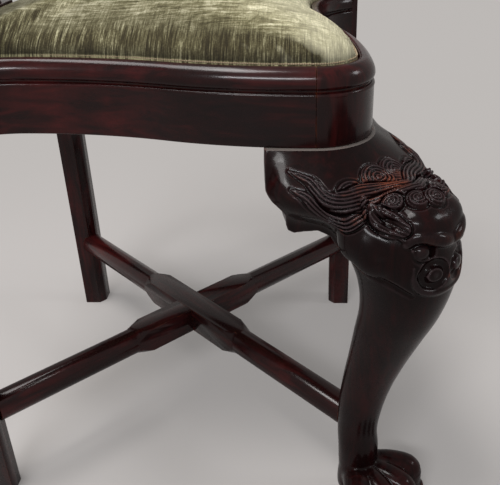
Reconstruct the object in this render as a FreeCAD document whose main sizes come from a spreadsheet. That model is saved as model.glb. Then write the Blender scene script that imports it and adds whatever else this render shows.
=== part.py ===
"""Corner chair in mahogany: lion-mask cabriole front leg, serpentine seat rails, drop-in seat.

The chair stands with its mirror plane on X = 0: front leg towards -Y, left and right
legs on the X axis, back leg towards +Y, floor at Z = 0, millimetres throughout.
The square seat lies at 45 degrees to that, so most pieces are drawn in seat
coordinates (x across, y away from the front left rail) and turned by SEAT_TURN.
"""
import FreeCAD, Part
import math
import os
import Sketcher

V = FreeCAD.Vector

SIZES = (
    ("leg_spacing", 389, "leg centre to leg centre along one side of the seat"),
    ("leg_width", 30, "side of the square left, right and back legs"),
    ("leg_bevel", 8.5, "bevel on the inner corner of those legs"),
    ("rim_height", 466, "floor to the top of the seat rails"),
    ("rail_depth", 65, "height of the seat rails"),
    ("front_overhang", 8.5, "front rails beyond the leg centres"),
    ("hollow_depth", 40, "depth of the hollow in the front rails"),
    ("hollow_run", 74.5, "side leg to the middle of the hollow, along the rail"),
    ("corner_radius", 50, "rounded front corner of the seat"),
    ("rail_thickness", 28, "front rails, outer face to inner face"),
    ("rim_width", 13, "flat and moulding outside the drop-in seat, front rails"),
    ("back_setback", 2.5, "back rails behind the outer face of the legs"),
    ("back_rim_width", 16, "top of the back rails outside the drop-in seat"),
    ("rebate_depth", 20, "rail top down to the ledge that carries the seat"),
    ("thumb_height", 13.5, "height of the rounded thumb moulding"),
    ("thumb_radius", 9, "rounding of its upper edge"),
    ("thumb_lip", 0.8, "how far the thumb moulding stands proud"),
    ("groove_height", 2.6, "shadow groove under the thumb moulding"),
    ("groove_depth", 1.6, "depth of that groove"),
    ("bead_height", 2.4, "height of the fillet under the groove"),
    ("bead_lip", 1.2, "how far the fillet stands proud"),
    ("tenon_width", 10, "thickness of the rail tenons"),
    ("tenon_height", 17, "height of the rail tenons"),
    ("tenon_length", 17, "length of the rail tenons"),
    ("block_rise", 14, "square head of the side and back legs above the rails"),
    ("arm_height", 690, "floor to the underside of the arms"),
    ("arm_thickness", 20, "thickness of the arms"),
    ("arm_width", 56, "width of the arms"),
    ("arm_offset", 9, "middle of the arms outside the middle of the posts"),
    ("arm_overhang", 62, "how far the arms run on past the side posts"),
    ("arm_end_radius", 35, "radius of the rounded arm ends"),
    ("post_belly", 16.5, "largest radius of the turned posts"),
    ("post_neck", 10, "smallest radius of the turned posts"),
    ("post_ring", 14.5, "radius of the rings at both ends of the turned posts"),
    ("post_pin_radius", 8, "pin of a turned post in the arm"),
    ("post_pin_length", 14, "length of that pin"),
    ("crest_height", 66, "height of the crest above the arms"),
    ("crest_width", 44, "width of the crest"),
    ("crest_angle", 42, "half of the arc that the crest covers"),
    ("shoe_height", 14, "height of the splat shoes"),
    ("shoe_width", 14, "width of the splat shoes at the rail"),
    ("shoe_length", 150, "length of the splat shoes"),
    ("splat_thickness", 9, "thickness of the pierced splats"),
    ("splat_foot", 104, "width of the splats at the shoe"),
    ("splat_waist", 74, "width of the splats at the waist"),
    ("splat_head", 150, "width of the splats at the arm"),
    ("splat_lean", 58, "how far the head of a splat lies outside its foot"),
    ("splat_seat", 6, "depth of a splat in the shoe and in the arm"),
    ("screw_radius", 2.5, "crest screws, shank"),
    ("screw_head_radius", 4.5, "crest screws, head"),
    ("screw_length", 40, "crest screws, under the head to the tip"),
    ("stretcher_height", 104.5, "floor to the middle of the cross stretcher"),
    ("stretcher_width", 31, "side of the square middle block of the stretcher"),
    ("stretcher_block", 150, "length of that block"),
    ("stretcher_shoulder", 20, "run of each shoulder from square to round"),
    ("stretcher_pin_radius", 7, "round tenon of the stretcher in the legs"),
    ("stretcher_pin_length", 14, "length of that tenon"),
    ("glue_block_height", 30, "height of the corner glue blocks"),
    ("glue_block_width", 58, "corner glue blocks along the diagonal"),
    ("seat_gap", 1.0, "clearance round the drop-in seat"),
    ("seat_lift_gap", 0.3, "clearance between the drop-in seat and its ledge"),
    ("cloth_thickness", 1.0, "velvet and lining"),
    ("cloth_turn", 24, "velvet turned under the slip frame"),
    ("slip_width", 44, "width of the slip frame rails"),
    ("slip_thickness", 18, "thickness of the slip frame rails"),
    ("webbing_width", 50, "width of each webbing strap"),
    ("webbing_thickness", 1.2, "thickness of the webbing"),
    ("hessian_thickness", 0.8, "thickness of the base cloth over the webbing"),
    ("seat_crown", 41, "crown of the cushion above the rails"),
    ("tack_radius", 2.2, "tack heads under the slip frame"),
    ("tack_head", 0.8, "thickness of the tack heads"),
    ("tack_length", 9, "length of the tacks"),
    ("ankle_width", 41, "cabriole leg at its thinnest"),
    ("ankle_forward", 5, "ankle in front of the corner post"),
    ("knee_width", 108, "thickness of the knee across the mask"),
    ("knee_forward", 46, "furthest place of the leg in front of the corner post"),
    ("knee_block", 88, "side of the knee under the rails"),
    ("knee_block_lip", 25, "knee in front of the rail faces"),
    ("knee_block_depth", 64, "height of the broad top of the knee"),
    ("knee_block_radius", 21, "rounding of the knee's shoulders"),
    ("ear_piece_reach", 95, "length of the knee brackets, from the seat corner"),
    ("ear_piece_depth", 30, "height of the bracket at its outer end"),
    ("ear_piece_drop", 75, "height of the bracket beside the knee"),
    ("ear_piece_lip", 10, "how far the brackets stand out from the rails"),
    ("paw_width", 92, "width of the paw across its toes"),
    ("paw_forward", 48, "ankle to the middle of the toe tips"),
    ("toe_height", 50, "height of the toe knuckles"),
    ("toe_width", 27, "width of one toe"),
    ("toe_angle", 33, "angle between toes"),
)


def fill_sheet(document):
    """Write every driving size into the spreadsheet, one row each."""
    table = document.addObject("Spreadsheet::Sheet", "sizes")
    for row, (alias, value, note) in enumerate(SIZES, start=1):
        table.set("A%d" % row, alias)
        table.set("B%d" % row, str(value))
        table.set("C%d" % row, note)
        table.setAlias("B%d" % row, alias)
    document.recompute()
    return table


doc = FreeCAD.newDocument("corner_chair")
sheet = fill_sheet(doc)
size = {alias: float(sheet.get(alias)) for alias, value, note in SIZES}
nodes = {}

# Places that follow from the sizes
HALF = size["leg_spacing"] / 2
DIAGONAL = HALF * math.sqrt(2)
LEG_FACE = HALF - size["leg_width"] / 2
BACK_REACH = HALF + size["leg_width"] / 2 - size["back_setback"]
BACK_THICKNESS = BACK_REACH - LEG_FACE
FRONT_REACH = HALF + size["front_overhang"]
WAIST = FRONT_REACH - size["hollow_depth"]
WAIST_PLACE = LEG_FACE - size["hollow_run"]
FLARE_RADIUS = (size["hollow_run"] ** 2 + size["hollow_depth"] ** 2) / (2 * size["hollow_depth"])
RAIL_LOW = size["rim_height"] - size["rail_depth"]
LEDGE = size["rim_height"] - size["rebate_depth"]
CORNER = FRONT_REACH - size["corner_radius"]
ARM_RADIUS = DIAGONAL + size["arm_offset"]
SEAT_TURN = FreeCAD.Placement(V(0, 0, 0), FreeCAD.Rotation(V(0, 0, 1), -45))
SEAT_LOW = LEDGE + size["seat_lift_gap"]
SLIP_LOW = SEAT_LOW + size["cloth_thickness"]
SLIP_TOP = SLIP_LOW + size["slip_thickness"]
WEB_TOP = SLIP_TOP + size["webbing_thickness"]
PAD_LOW = WEB_TOP + size["hessian_thickness"]
CLOTH = size["cloth_thickness"]
CROWN_TOP = size["rim_height"] + size["seat_crown"]


def register(obj, name):
    """Give a finished piece its node name."""
    obj.Label = name
    nodes[name] = obj
    return obj


def feature(name, shape, placement=None):
    """A piece whose form Part's own functions make."""
    obj = doc.addObject("Part::Feature", name)
    obj.Shape = shape
    if placement is not None:
        obj.Placement = placement.multiply(shape.Placement)
    return obj


def mirrored(source, name):
    """The same piece on the other side of the chair."""
    obj = doc.addObject("Part::Mirroring", name)
    obj.Source = source
    obj.Normal = (1, 0, 0)
    obj.Base = (0, 0, 0)
    return obj


def cut(base, tool, name):
    obj = doc.addObject("Part::Cut", name)
    obj.Base = base
    obj.Tool = tool
    return obj


def fused(parts, name):
    obj = doc.addObject("Part::MultiFuse", name)
    obj.Shapes = parts
    return obj


def common(parts, name):
    obj = doc.addObject("Part::MultiCommon", name)
    obj.Shapes = parts
    return obj


def bound(kind, name, place=(), turn=None, **sizes):
    """A Part primitive with its sizes and place bound to the sheet."""
    obj = doc.addObject("Part::" + kind, name)
    if turn is not None:
        obj.Placement = FreeCAD.Placement(V(0, 0, 0), turn)
    for prop, expression in sizes.items():
        obj.setExpression(prop, expression)
    for axis, expression in zip("xyz", place):
        if expression != "0":
            obj.setExpression("Placement.Base." + axis, expression)
    return obj


def origin_plane(body, role):
    return [item for item in body.Origin.OriginFeatures if item.Role == role][0]


def profile(body, role, name, corners, height=None):
    """A closed outline of straight edges, each corner bound to the sheet."""
    sketch = body.newObject("Sketcher::SketchObject", name)
    sketch.AttachmentSupport = [(origin_plane(body, role), "")]
    sketch.MapMode = "FlatFace"
    if height is not None:
        sketch.setExpression("AttachmentOffset.Base.z", height)
    count = len(corners)
    start = [V(9 * math.cos(6 * i / count), 9 * math.sin(6 * i / count), 0) for i in range(count)]
    for i in range(count):
        sketch.addGeometry(Part.LineSegment(start[i], start[(i + 1) % count]), False)
    for i in range(count):
        sketch.addConstraint(Sketcher.Constraint("Coincident", i, 2, (i + 1) % count, 1))
    for i, corner in enumerate(corners):
        for kind, expression in zip(("DistanceX", "DistanceY"), corner):
            index = sketch.addConstraint(Sketcher.Constraint(kind, -1, 1, i, 1, 1.0))
            sketch.setExpression("Constraints[%d]" % index, expression)
    return sketch


def disc(body, name, height, radius):
    """A circle round the body's Z axis at a height, both bound to the sheet."""
    sketch = body.newObject("Sketcher::SketchObject", name)
    sketch.AttachmentSupport = [(origin_plane(body, "XY_Plane"), "")]
    sketch.MapMode = "FlatFace"
    sketch.setExpression("AttachmentOffset.Base.z", height)
    sketch.addGeometry(Part.Circle(V(0, 0, 0), V(0, 0, 1), 10), False)
    sketch.addConstraint(Sketcher.Constraint("Coincident", 0, 3, -1, 1))
    index = sketch.addConstraint(Sketcher.Constraint("Radius", 0, 10.0))
    sketch.setExpression("Constraints[%d]" % index, radius)
    return sketch


def pad(body, sketch, name, length):
    item = body.newObject("PartDesign::Pad", name)
    item.Profile = sketch
    item.setExpression("Length", length)
    return item


def pocket(body, sketch, name, length):
    """A cut along the sketch's own normal."""
    item = body.newObject("PartDesign::Pocket", name)
    item.Profile = sketch
    item.Reversed = True
    item.setExpression("Length", length)
    return item


def loft(body, sketches, name):
    item = body.newObject("PartDesign::AdditiveLoft", name)
    item.Profile = sketches[0]
    item.Sections = sketches[1:]
    return item


# Plan of the seat
SWING = 2 * math.atan((FRONT_REACH - WAIST) / (CORNER + WAIST_PLACE))
SWING_RADIUS = (CORNER + WAIST_PLACE) / (2 * math.sin(SWING))


def bulge(inset, turn):
    """Point on the outward curve of the front left rail."""
    radius = SWING_RADIUS - inset
    return (CORNER - radius * math.sin(turn),
            -FRONT_REACH + SWING_RADIUS - radius * math.cos(turn))


def hollow(inset, turn):
    """Point on the inward curve of the front left rail."""
    radius = SWING_RADIUS + inset
    return (-WAIST_PLACE + radius * math.sin(turn),
            -WAIST - SWING_RADIUS + radius * math.cos(turn))


def flare(inset, turn):
    """Point on the sweep from the hollow out to the left leg."""
    radius = FLARE_RADIUS + inset
    return (-WAIST_PLACE - radius * math.sin(turn),
            -WAIST - FLARE_RADIUS + radius * math.cos(turn))


def flare_turn(inset, across):
    """Turn of the flare where it reaches a distance across from the centre."""
    return math.asin((across - WAIST_PLACE) / (FLARE_RADIUS + inset))


def corner_start(inset):
    """Turn of the bulge where the front left curve begins."""
    if inset < size["corner_radius"]:
        return 0.0
    share = (CORNER - FRONT_REACH + SWING_RADIUS) / (SWING_RADIUS - inset)
    return math.pi / 4 - math.acos(share / math.sqrt(2))


def near_curve(inset, last_turn):
    """Arcs of the front left side, from the front corner to the left leg."""
    first = corner_start(inset)
    arcs = []
    for curve, begin, end in ((bulge, first, SWING), (hollow, SWING, 0.0), (flare, 0.0, last_turn)):
        arcs.append([curve(inset, begin + (end - begin) * share) for share in (0, 0.5, 1)])
    return arcs


def corner_arc(inset):
    """The rounded front corner, from the left side to the right side."""
    radius = size["corner_radius"] - inset
    slant = radius / math.sqrt(2)
    return [(CORNER, -CORNER - radius), (CORNER + slant, -CORNER - slant), (CORNER + radius, -CORNER)]


def swap(point):
    """Mirror a plan point from the left half of the chair to the right."""
    return (-point[1], -point[0])


def edges_from(pieces, height, scale=1.0):
    """Edges through plan points: three points make an arc, two a line."""
    edges = []
    for piece in pieces:
        points = [V(x * scale, y * scale, height) for x, y in piece]
        if len(points) == 3:
            edges.append(Part.Arc(*points).toShape())
        else:
            edges.append(Part.LineSegment(*points).toShape())
    return edges


def round_wire(front_inset, back, height=0.0, scale=1.0):
    """Outline of the whole seat at an inset from the front faces, back sides at a distance."""
    near = near_curve(front_inset, flare_turn(front_inset, back))
    left_end = near[-1][-1]
    left = [[left_end, (-back, back)], [(-back, back), swap(left_end)]]
    far = [[swap(point) for point in reversed(piece)] for piece in reversed(near)]
    pieces = near + left + far
    if front_inset < size["corner_radius"]:
        pieces.append(list(reversed(corner_arc(front_inset))))
    return Part.Wire(Part.__sortEdges__(edges_from(pieces, height, scale)))


def seat_wire(inset, height, scale=1.0):
    """Outline of the drop-in seat, its three corners at the posts still uncut."""
    back = BACK_REACH - size["back_rim_width"] - size["seat_gap"] - inset
    return round_wire(size["rim_width"] + size["seat_gap"] + inset, back, height, scale)


def post_corners(inset, lean=0.0):
    """Slabs that take the seat's corners off in front of the three posts."""
    reach = DIAGONAL - size["leg_width"] / math.sqrt(2) - 2 * size["seat_gap"] - inset
    slabs = []
    for turn in (45, 135, 225):
        slab = Part.makeBox(DIAGONAL, 2 * DIAGONAL, DIAGONAL, V(reach, -DIAGONAL, SEAT_LOW - 5))
        slab.rotate(V(reach, 0, SLIP_LOW), V(0, 1, 0), -lean)
        slab.rotate(V(0, 0, 0), V(0, 0, 1), turn)
        slabs.append(slab)
    return slabs


def seat_layer(inset, bottom, top):
    """One flat layer of the drop-in seat."""
    return prism(seat_wire(inset, 0), bottom, top).cut(post_corners(inset))


def prism(wire, bottom, top):
    """Solid between two heights over a plan outline drawn at height 0."""
    solid = Part.Face(wire).extrude(V(0, 0, top - bottom))
    solid.translate(V(0, 0, bottom))
    return solid


def near_rail_wire(outer, inner, inner_back):
    """Outline of the front left rail between two insets."""
    outside = near_curve(outer, flare_turn(outer, LEG_FACE))
    line = BACK_REACH - inner_back
    at_leg = flare(inner, flare_turn(inner, LEG_FACE))
    start = (CORNER, -FRONT_REACH + inner)
    if at_leg[1] > -LEG_FACE and line < LEG_FACE:
        inside = near_curve(inner, flare_turn(inner, line))
        steps = [inside[-1][-1], (-line, -LEG_FACE), (-LEG_FACE, -LEG_FACE), outside[-1][-1]]
    else:
        inside = near_curve(inner, flare_turn(inner, LEG_FACE))
        steps = [inside[-1][-1], outside[-1][-1]]
    closing = [[steps[i], steps[i + 1]] for i in range(len(steps) - 1)]
    pieces = outside + inside + closing + [[outside[0][0], start]]
    return Part.Wire(Part.__sortEdges__(edges_from(pieces, 0)))


def corner_wire(outer, inner):
    """Outline of the corner post between two insets."""
    arc = corner_arc(outer)
    if inner is None:
        middle = (CORNER, -CORNER)
        pieces = [arc, [arc[2], middle], [middle, arc[0]]]
    else:
        inside = corner_arc(inner)
        pieces = [arc, [arc[2], inside[2]], inside, [inside[0], arc[0]]]
    return Part.Wire(Part.__sortEdges__(edges_from(pieces, 0)))


def moulded(outline, thickness, back_thickness):
    """Plain face, fillet, shadow groove and thumb moulding over one plan outline."""
    rim_top = size["rim_height"]
    thumb_low = rim_top - size["thumb_height"]
    groove_low = thumb_low - size["groove_height"]
    bead_low = groove_low - size["bead_height"]
    rim = (size["rim_width"], size["back_rim_width"])
    body = (thickness, back_thickness)
    bands = ((0.0, RAIL_LOW, bead_low), (-size["bead_lip"], bead_low, groove_low),
             (size["groove_depth"], groove_low, thumb_low))
    solids = []
    for outer, bottom, top in bands:
        if bottom < LEDGE:
            solids.append(prism(outline(outer, *body), bottom, min(top, LEDGE)))
        if top > LEDGE:
            solids.append(prism(outline(outer, *rim), max(bottom, LEDGE), top))
    thumb = prism(outline(-size["thumb_lip"], *rim), thumb_low, rim_top)
    outside = Part.Wire(Part.__sortEdges__(outline.curve(-size["thumb_lip"])))
    top_edges = [edge for edge in thumb.Edges
                 if edge.BoundBox.ZMin > rim_top - 0.01
                 and outside.distToShape(Part.Vertex(middle_of(edge, rim_top)))[0] < 0.01]
    solids.append(thumb.makeFillet(min(size["thumb_radius"], size["rim_width"] - 1), top_edges))
    return solids[0].multiFuse(solids[1:]).removeSplitter()


def middle_of(edge, height):
    """Middle point of an edge, brought down to plan height 0."""
    point = edge.valueAt((edge.FirstParameter + edge.LastParameter) / 2)
    return V(point.x, point.y, point.z - height)


class NearOutline:
    """Plan outline of the front left rail for the moulding bands."""

    def __call__(self, outer, inner, inner_back):
        return near_rail_wire(outer, inner, inner_back)

    def curve(self, outer):
        return edges_from(near_curve(outer, flare_turn(outer, LEG_FACE)), 0)


class CornerOutline:
    """Plan outline of the corner post for the moulding bands."""

    def __call__(self, outer, inner, inner_back):
        return corner_wire(outer, None if inner == size["rail_thickness"] else inner)

    def curve(self, outer):
        return edges_from([corner_arc(outer)], 0)


def box(x0, x1, y0, y1, z0, z1):
    return Part.makeBox(x1 - x0, y1 - y0, z1 - z0, V(x0, y0, z0))


def tenon_heights(level):
    """Bottom and top of a tenon; upper and lower ones pass each other in the leg."""
    gap = 3.0
    if level == "upper":
        return LEDGE - gap - size["tenon_height"], LEDGE - gap
    return RAIL_LOW + gap, RAIL_LOW + gap + size["tenon_height"]


# Left, right and back legs
def rear_leg(name, turn, place, upper_on_x, upper_on_y):
    """Square leg with bevelled inner corner, running up into a turned arm post."""
    body = doc.addObject("PartDesign::Body", name)
    half = "sizes.leg_width / 2"
    square = [("-" + half, "-" + half), (half, "-" + half), (half, half), ("-" + half, half)]
    pad(body, profile(body, "XY_Plane", name + "_plan", square), name + "_shaft",
        "sizes.rim_height + sizes.block_rise")
    corner = [(half + " - sizes.leg_bevel", half), (half, half + " - sizes.leg_bevel"),
              (half + " + 1", half + " + 1")]
    pocket(body, profile(body, "XY_Plane", name + "_bevel", corner), name + "_bevel_cut",
           "sizes.rim_height - sizes.rail_depth - sizes.leg_bevel")
    foot = "sizes.rim_height + sizes.block_rise"
    rise = "(sizes.arm_height - sizes.rim_height - sizes.block_rise)"
    stations = (("0", "sizes.post_ring"), ("0.03", "sizes.post_ring"), ("0.06", "sizes.post_neck"),
                ("0.27", "sizes.post_belly"), ("0.6", "sizes.post_neck + 1.5"),
                ("0.9", "sizes.post_neck"), ("0.95", "sizes.post_ring - 1"), ("1", "sizes.post_ring - 1"))
    circles = [disc(body, "%s_turning_%d" % (name, i), "%s + %s * %s" % (foot, rise, share), radius)
               for i, (share, radius) in enumerate(stations)]
    for first, last in ((0, 1), (1, 2), (2, 5), (5, 6), (6, 7)):
        loft(body, circles[first:last + 1], "%s_turned_%d" % (name, first))
    pin = disc(body, name + "_pin_circle", "sizes.arm_height", "sizes.post_pin_radius")
    pad(body, pin, name + "_pin", "sizes.post_pin_length")
    for axis, level in (("x", upper_on_x), ("y", upper_on_y)):
        mortise(body, name, axis, level)
    bore = body.newObject("PartDesign::SubtractiveCylinder", name + "_stretcher_hole")
    bore.setExpression("Radius", "sizes.stretcher_pin_radius")
    bore.setExpression("Height", "100")
    bore.Placement = FreeCAD.Placement(V(0, 0, 0), FreeCAD.Rotation(V(-1, 1, 0), 90))
    start = "((sizes.leg_width - sizes.leg_bevel) / sqrt(2) - sizes.stretcher_pin_length) / sqrt(2)"
    bore.setExpression("Placement.Base.x", start)
    bore.setExpression("Placement.Base.y", start)
    bore.setExpression("Placement.Base.z", "sizes.stretcher_height")
    body.Placement = FreeCAD.Placement(V(0, 0, 0), FreeCAD.Rotation(V(0, 0, 1), turn))
    for axis, sign in zip("xy", place):
        if sign:
            body.setExpression("Placement.Base." + axis, "%d * sizes.leg_spacing / sqrt(2)" % sign)
    return register(body, name)


def mortise(body, name, axis, level):
    """Mortise for a rail tenon in one of the two inner faces."""
    item = body.newObject("PartDesign::SubtractiveBox", "%s_mortise_%s" % (name, axis))
    along, across = ("Length", "Width") if axis == "x" else ("Width", "Length")
    item.setExpression(along, "sizes.tenon_length")
    item.setExpression(across, "sizes.tenon_width")
    item.setExpression("Height", "sizes.tenon_height")
    other = "y" if axis == "x" else "x"
    item.setExpression("Placement.Base." + axis, "sizes.leg_width / 2 - sizes.tenon_length")
    item.setExpression("Placement.Base." + other, "-sizes.tenon_width / 2")
    if level == "upper":
        low = "sizes.rim_height - sizes.rebate_depth - 3 - sizes.tenon_height"
    else:
        low = "sizes.rim_height - sizes.rail_depth + 3"
    item.setExpression("Placement.Base.z", low)


left_leg = rear_leg("left_leg", -45, (-1, 0), "upper", "lower")
right_leg = rear_leg("right_leg", 135, (1, 0), "lower", "upper")
back_leg = rear_leg("back_leg", -135, (0, 1), "lower", "upper")
doc.recompute()


# Front seat rails
def front_rail():
    """Serpentine front left rail with a tenon at each end."""
    solid = moulded(NearOutline(), size["rail_thickness"], BACK_THICKNESS)
    low, high = tenon_heights("upper")
    half = size["tenon_width"] / 2
    at_post = -FRONT_REACH + size["rail_thickness"] / 2
    tenons = [box(-LEG_FACE - size["tenon_length"], -LEG_FACE, -HALF - half, -HALF + half, low, high),
              box(CORNER, CORNER + size["tenon_length"], at_post - half, at_post + half, low, high)]
    return solid.multiFuse(tenons).removeSplitter()


front_left = feature("front_left_rail", front_rail(), SEAT_TURN)
register(front_left, "seat_rail_front_left")
register(mirrored(front_left, "front_right_rail"), "seat_rail_front_right")


# Back seat rails
def back_rail(name, label, level_at_back):
    """Straight back rail: moulded profile padded from leg to leg, a tenon at each end."""
    body = doc.addObject("PartDesign::Body", name)
    outer = "(sizes.leg_spacing / 2 + sizes.leg_width / 2 - sizes.back_setback)"
    inner = "(sizes.leg_spacing / 2 - sizes.leg_width / 2)"
    rim = "(%s - sizes.back_rim_width)" % outer
    top = "sizes.rim_height"
    ledge = "(sizes.rim_height - sizes.rebate_depth)"
    low = "(sizes.rim_height - sizes.rail_depth)"
    thumb = "(sizes.rim_height - sizes.thumb_height)"
    groove = "(sizes.rim_height - sizes.thumb_height - sizes.groove_height)"
    bead = "(sizes.rim_height - sizes.thumb_height - sizes.groove_height - sizes.bead_height)"
    corners = [(inner, low), (outer, low), (outer, bead), (outer + " + sizes.bead_lip", bead),
               (outer + " + sizes.bead_lip", groove), (outer + " - sizes.groove_depth", groove),
               (outer + " - sizes.groove_depth", thumb), (outer + " + sizes.thumb_lip", thumb),
               (outer + " + sizes.thumb_lip", top), (rim, top), (rim, ledge), (inner, ledge)]
    run = "(sizes.leg_spacing - sizes.leg_width)"
    section = profile(body, "YZ_Plane", name + "_section", corners, "-%s / 2" % run)
    item = pad(body, section, name + "_length", run)
    doc.recompute()
    edge = [("Edge%d" % (i + 1)) for i, candidate in enumerate(item.Shape.Edges)
            if candidate.BoundBox.ZMin > size["rim_height"] - 0.01
            and candidate.BoundBox.YMin > BACK_REACH
            and candidate.Length > size["leg_width"]]
    rounding = body.newObject("PartDesign::Fillet", name + "_thumb")
    rounding.Base = (item, edge)
    rounding.setExpression("Radius", "sizes.thumb_radius")
    for end, level in (("-1", level_at_back), ("1", "lower")):
        tongue = body.newObject("PartDesign::AdditiveBox", "%s_tenon_%s" % (name, level))
        tongue.setExpression("Length", "sizes.tenon_length")
        tongue.setExpression("Width", "sizes.tenon_width")
        tongue.setExpression("Height", "sizes.tenon_height")
        offset = run + " / 2" if end == "1" else "-%s / 2 - sizes.tenon_length" % run
        tongue.setExpression("Placement.Base.x", offset)
        tongue.setExpression("Placement.Base.y", "sizes.leg_spacing / 2 - sizes.tenon_width / 2")
        low_end = ledge + " - 3 - sizes.tenon_height" if level == "upper" else low + " + 3"
        tongue.setExpression("Placement.Base.z", low_end)
    body.Placement = SEAT_TURN
    return body


back_right = back_rail("back_right_rail", "seat_rail_back_right", "upper")
register(back_right, "seat_rail_back_right")
back_left_source = back_rail("back_left_rail_source", "seat_rail_back_left", "lower")
register(mirrored(back_left_source, "back_left_rail"), "seat_rail_back_left")
doc.recompute()


# Front leg
def ring_at(height, forward, width, depth_share=1.0):
    """Oval cross-section of the leg, its middle in front of the corner post."""
    middle = V(0, -DIAGONAL - forward, height)
    if abs(depth_share - 1.0) < 0.001:
        return Part.Wire(Part.Circle(middle, V(0, 0, 1), width / 2).toShape())
    ellipse = Part.Ellipse(middle, width / 2 * depth_share, width / 2)
    return Part.Wire(ellipse.toShape())


def ball(middle, along, across, tall, lean=0.0, turn=0.0):
    """Egg-shaped swelling: half lengths along, across and up, leaned down and turned."""
    sphere = Part.makeSphere(1.0)
    matrix = FreeCAD.Matrix()
    matrix.scale(across, along, tall)
    egg = sphere.transformGeometry(matrix)
    egg.rotate(V(0, 0, 0), V(1, 0, 0), lean)
    egg.rotate(V(0, 0, 0), V(0, 0, 1), turn)
    egg.translate(middle)
    return egg


# Height, forward sweep and swelling of the cabriole leg, as shares from ankle to knee
LEG_STATIONS = ((0.23, 0.0, 0.0), (0.315, 0.06, 0.05), (0.405, 0.22, 0.13), (0.52, 0.52, 0.25),
                (0.635, 0.85, 0.43), (0.715, 1.0, 0.58), (0.795, 0.94, 0.94), (0.868, 0.57, 1.0),
                (0.938, -0.09, 1.0), (0.978, -0.68, 0.99), (1.0, -1.2, 0.88))


def cabriole():
    """Leg from ankle to knee as one smooth loft through its stations."""
    rings = [ring_at(size["toe_height"] * 0.7, size["ankle_forward"] + 3, size["ankle_width"] + 4)]
    swell = size["knee_width"] - size["ankle_width"]
    sweep = size["knee_forward"] - size["ankle_forward"]
    for height, forward, width in LEG_STATIONS:
        rings.append(ring_at(RAIL_LOW * height, size["ankle_forward"] + sweep * forward,
                             size["ankle_width"] + swell * width))
    return Part.makeLoft(rings, True, False)


def paw():
    """Four toes spread round the front of the foot, and the heel behind them."""
    toes = []
    half = size["toe_width"] / 2
    start = V(0, -DIAGONAL - size["ankle_forward"], 0)
    for index in (-1.5, -0.5, 0.5, 1.5):
        turn = index * size["toe_angle"]
        way = V(math.sin(math.radians(turn)), -math.cos(math.radians(turn)), 0)
        knuckle = start + way * size["paw_forward"] * 0.55 + V(0, 0, size["toe_height"] * 0.5)
        tip = start + way * size["paw_forward"] + V(0, 0, size["toe_height"] * 0.28)
        toes.append(ball(knuckle, half * 1.7, half, size["toe_height"] * 0.5, 18, turn))
        toes.append(ball(tip, half * 1.35, half, size["toe_height"] * 0.33, 12, turn))
    heel = ball(start + V(0, -4, size["toe_height"] * 0.45), size["paw_width"] * 0.36,
                size["paw_width"] * 0.36, size["toe_height"] * 0.6)
    solid = heel.multiFuse(toes)
    reach = 4 * size["paw_forward"]
    floor = box(-reach, reach, -DIAGONAL - reach, -DIAGONAL + reach, -reach, 0)
    return solid.cut(floor)


def mask():
    """Main swellings of the lion mask: skull, brows, muzzle, chin and cheeks."""
    width = size["knee_width"]
    front = -DIAGONAL - size["knee_forward"]
    level = RAIL_LOW * 0.83
    swellings = [ball(V(0, front - width * 0.03, level + width * 0.18), 43, 38, 31),
                 ball(V(0, front - width * 0.18, level - width * 0.16), 24, 30, 20),
                 ball(V(0, front - width * 0.26, level - width * 0.39), 14, 20, 10)]
    for side in (-1, 1):
        swellings.append(ball(V(side * width * 0.16, front - width * 0.22, level + width * 0.22), 21, 18, 16))
        swellings.append(ball(V(side * width * 0.4, front + width * 0.17, level - width * 0.04), 19, 15, 17))
    return swellings


def knee_block():
    """Broad top of the knee, square to the seat and rounded all round, that the brackets meet."""
    lip = size["knee_block_lip"]
    outer = FRONT_REACH + lip
    low = RAIL_LOW - size["knee_block_depth"]
    block = box(outer - size["knee_block"], outer, -outer, -outer + size["knee_block"], low, RAIL_LOW)
    rounded = [edge for edge in block.Edges
               if edge.BoundBox.XMin > outer - 1 or edge.BoundBox.YMax < 1 - outer]
    block = block.makeFillet(size["knee_block_radius"], rounded)
    block.Placement = SEAT_TURN.multiply(block.Placement)
    return block


def front_leg():
    """Corner post, knee with its mask, cabriole leg and paw, all one piece of wood."""
    post = moulded(CornerOutline(), size["rail_thickness"], BACK_THICKNESS)
    low, high = tenon_heights("upper")
    half = size["tenon_width"] / 2
    middle = -FRONT_REACH + size["rail_thickness"] / 2
    left_hole = box(CORNER, CORNER + size["tenon_length"], middle - half, middle + half, low, high)
    right_hole = box(-middle - half, -middle + half, -CORNER - size["tenon_length"], -CORNER, low, high)
    post = post.cut(left_hole).cut(right_hole)
    post.Placement = SEAT_TURN.multiply(post.Placement)
    leg = cabriole()
    solid = leg.multiFuse(mask() + [knee_block(), paw(), post])
    bore = Part.makeCylinder(size["stretcher_pin_radius"], DIAGONAL,
                             V(0, -DIAGONAL - size["ankle_forward"] + size["ankle_width"] / 2
                               - size["stretcher_pin_length"], size["stretcher_height"]), V(0, 1, 0))
    return solid.cut(bore)


leg_feature = feature("front_leg", front_leg())
register(leg_feature, "front_leg")


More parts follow.
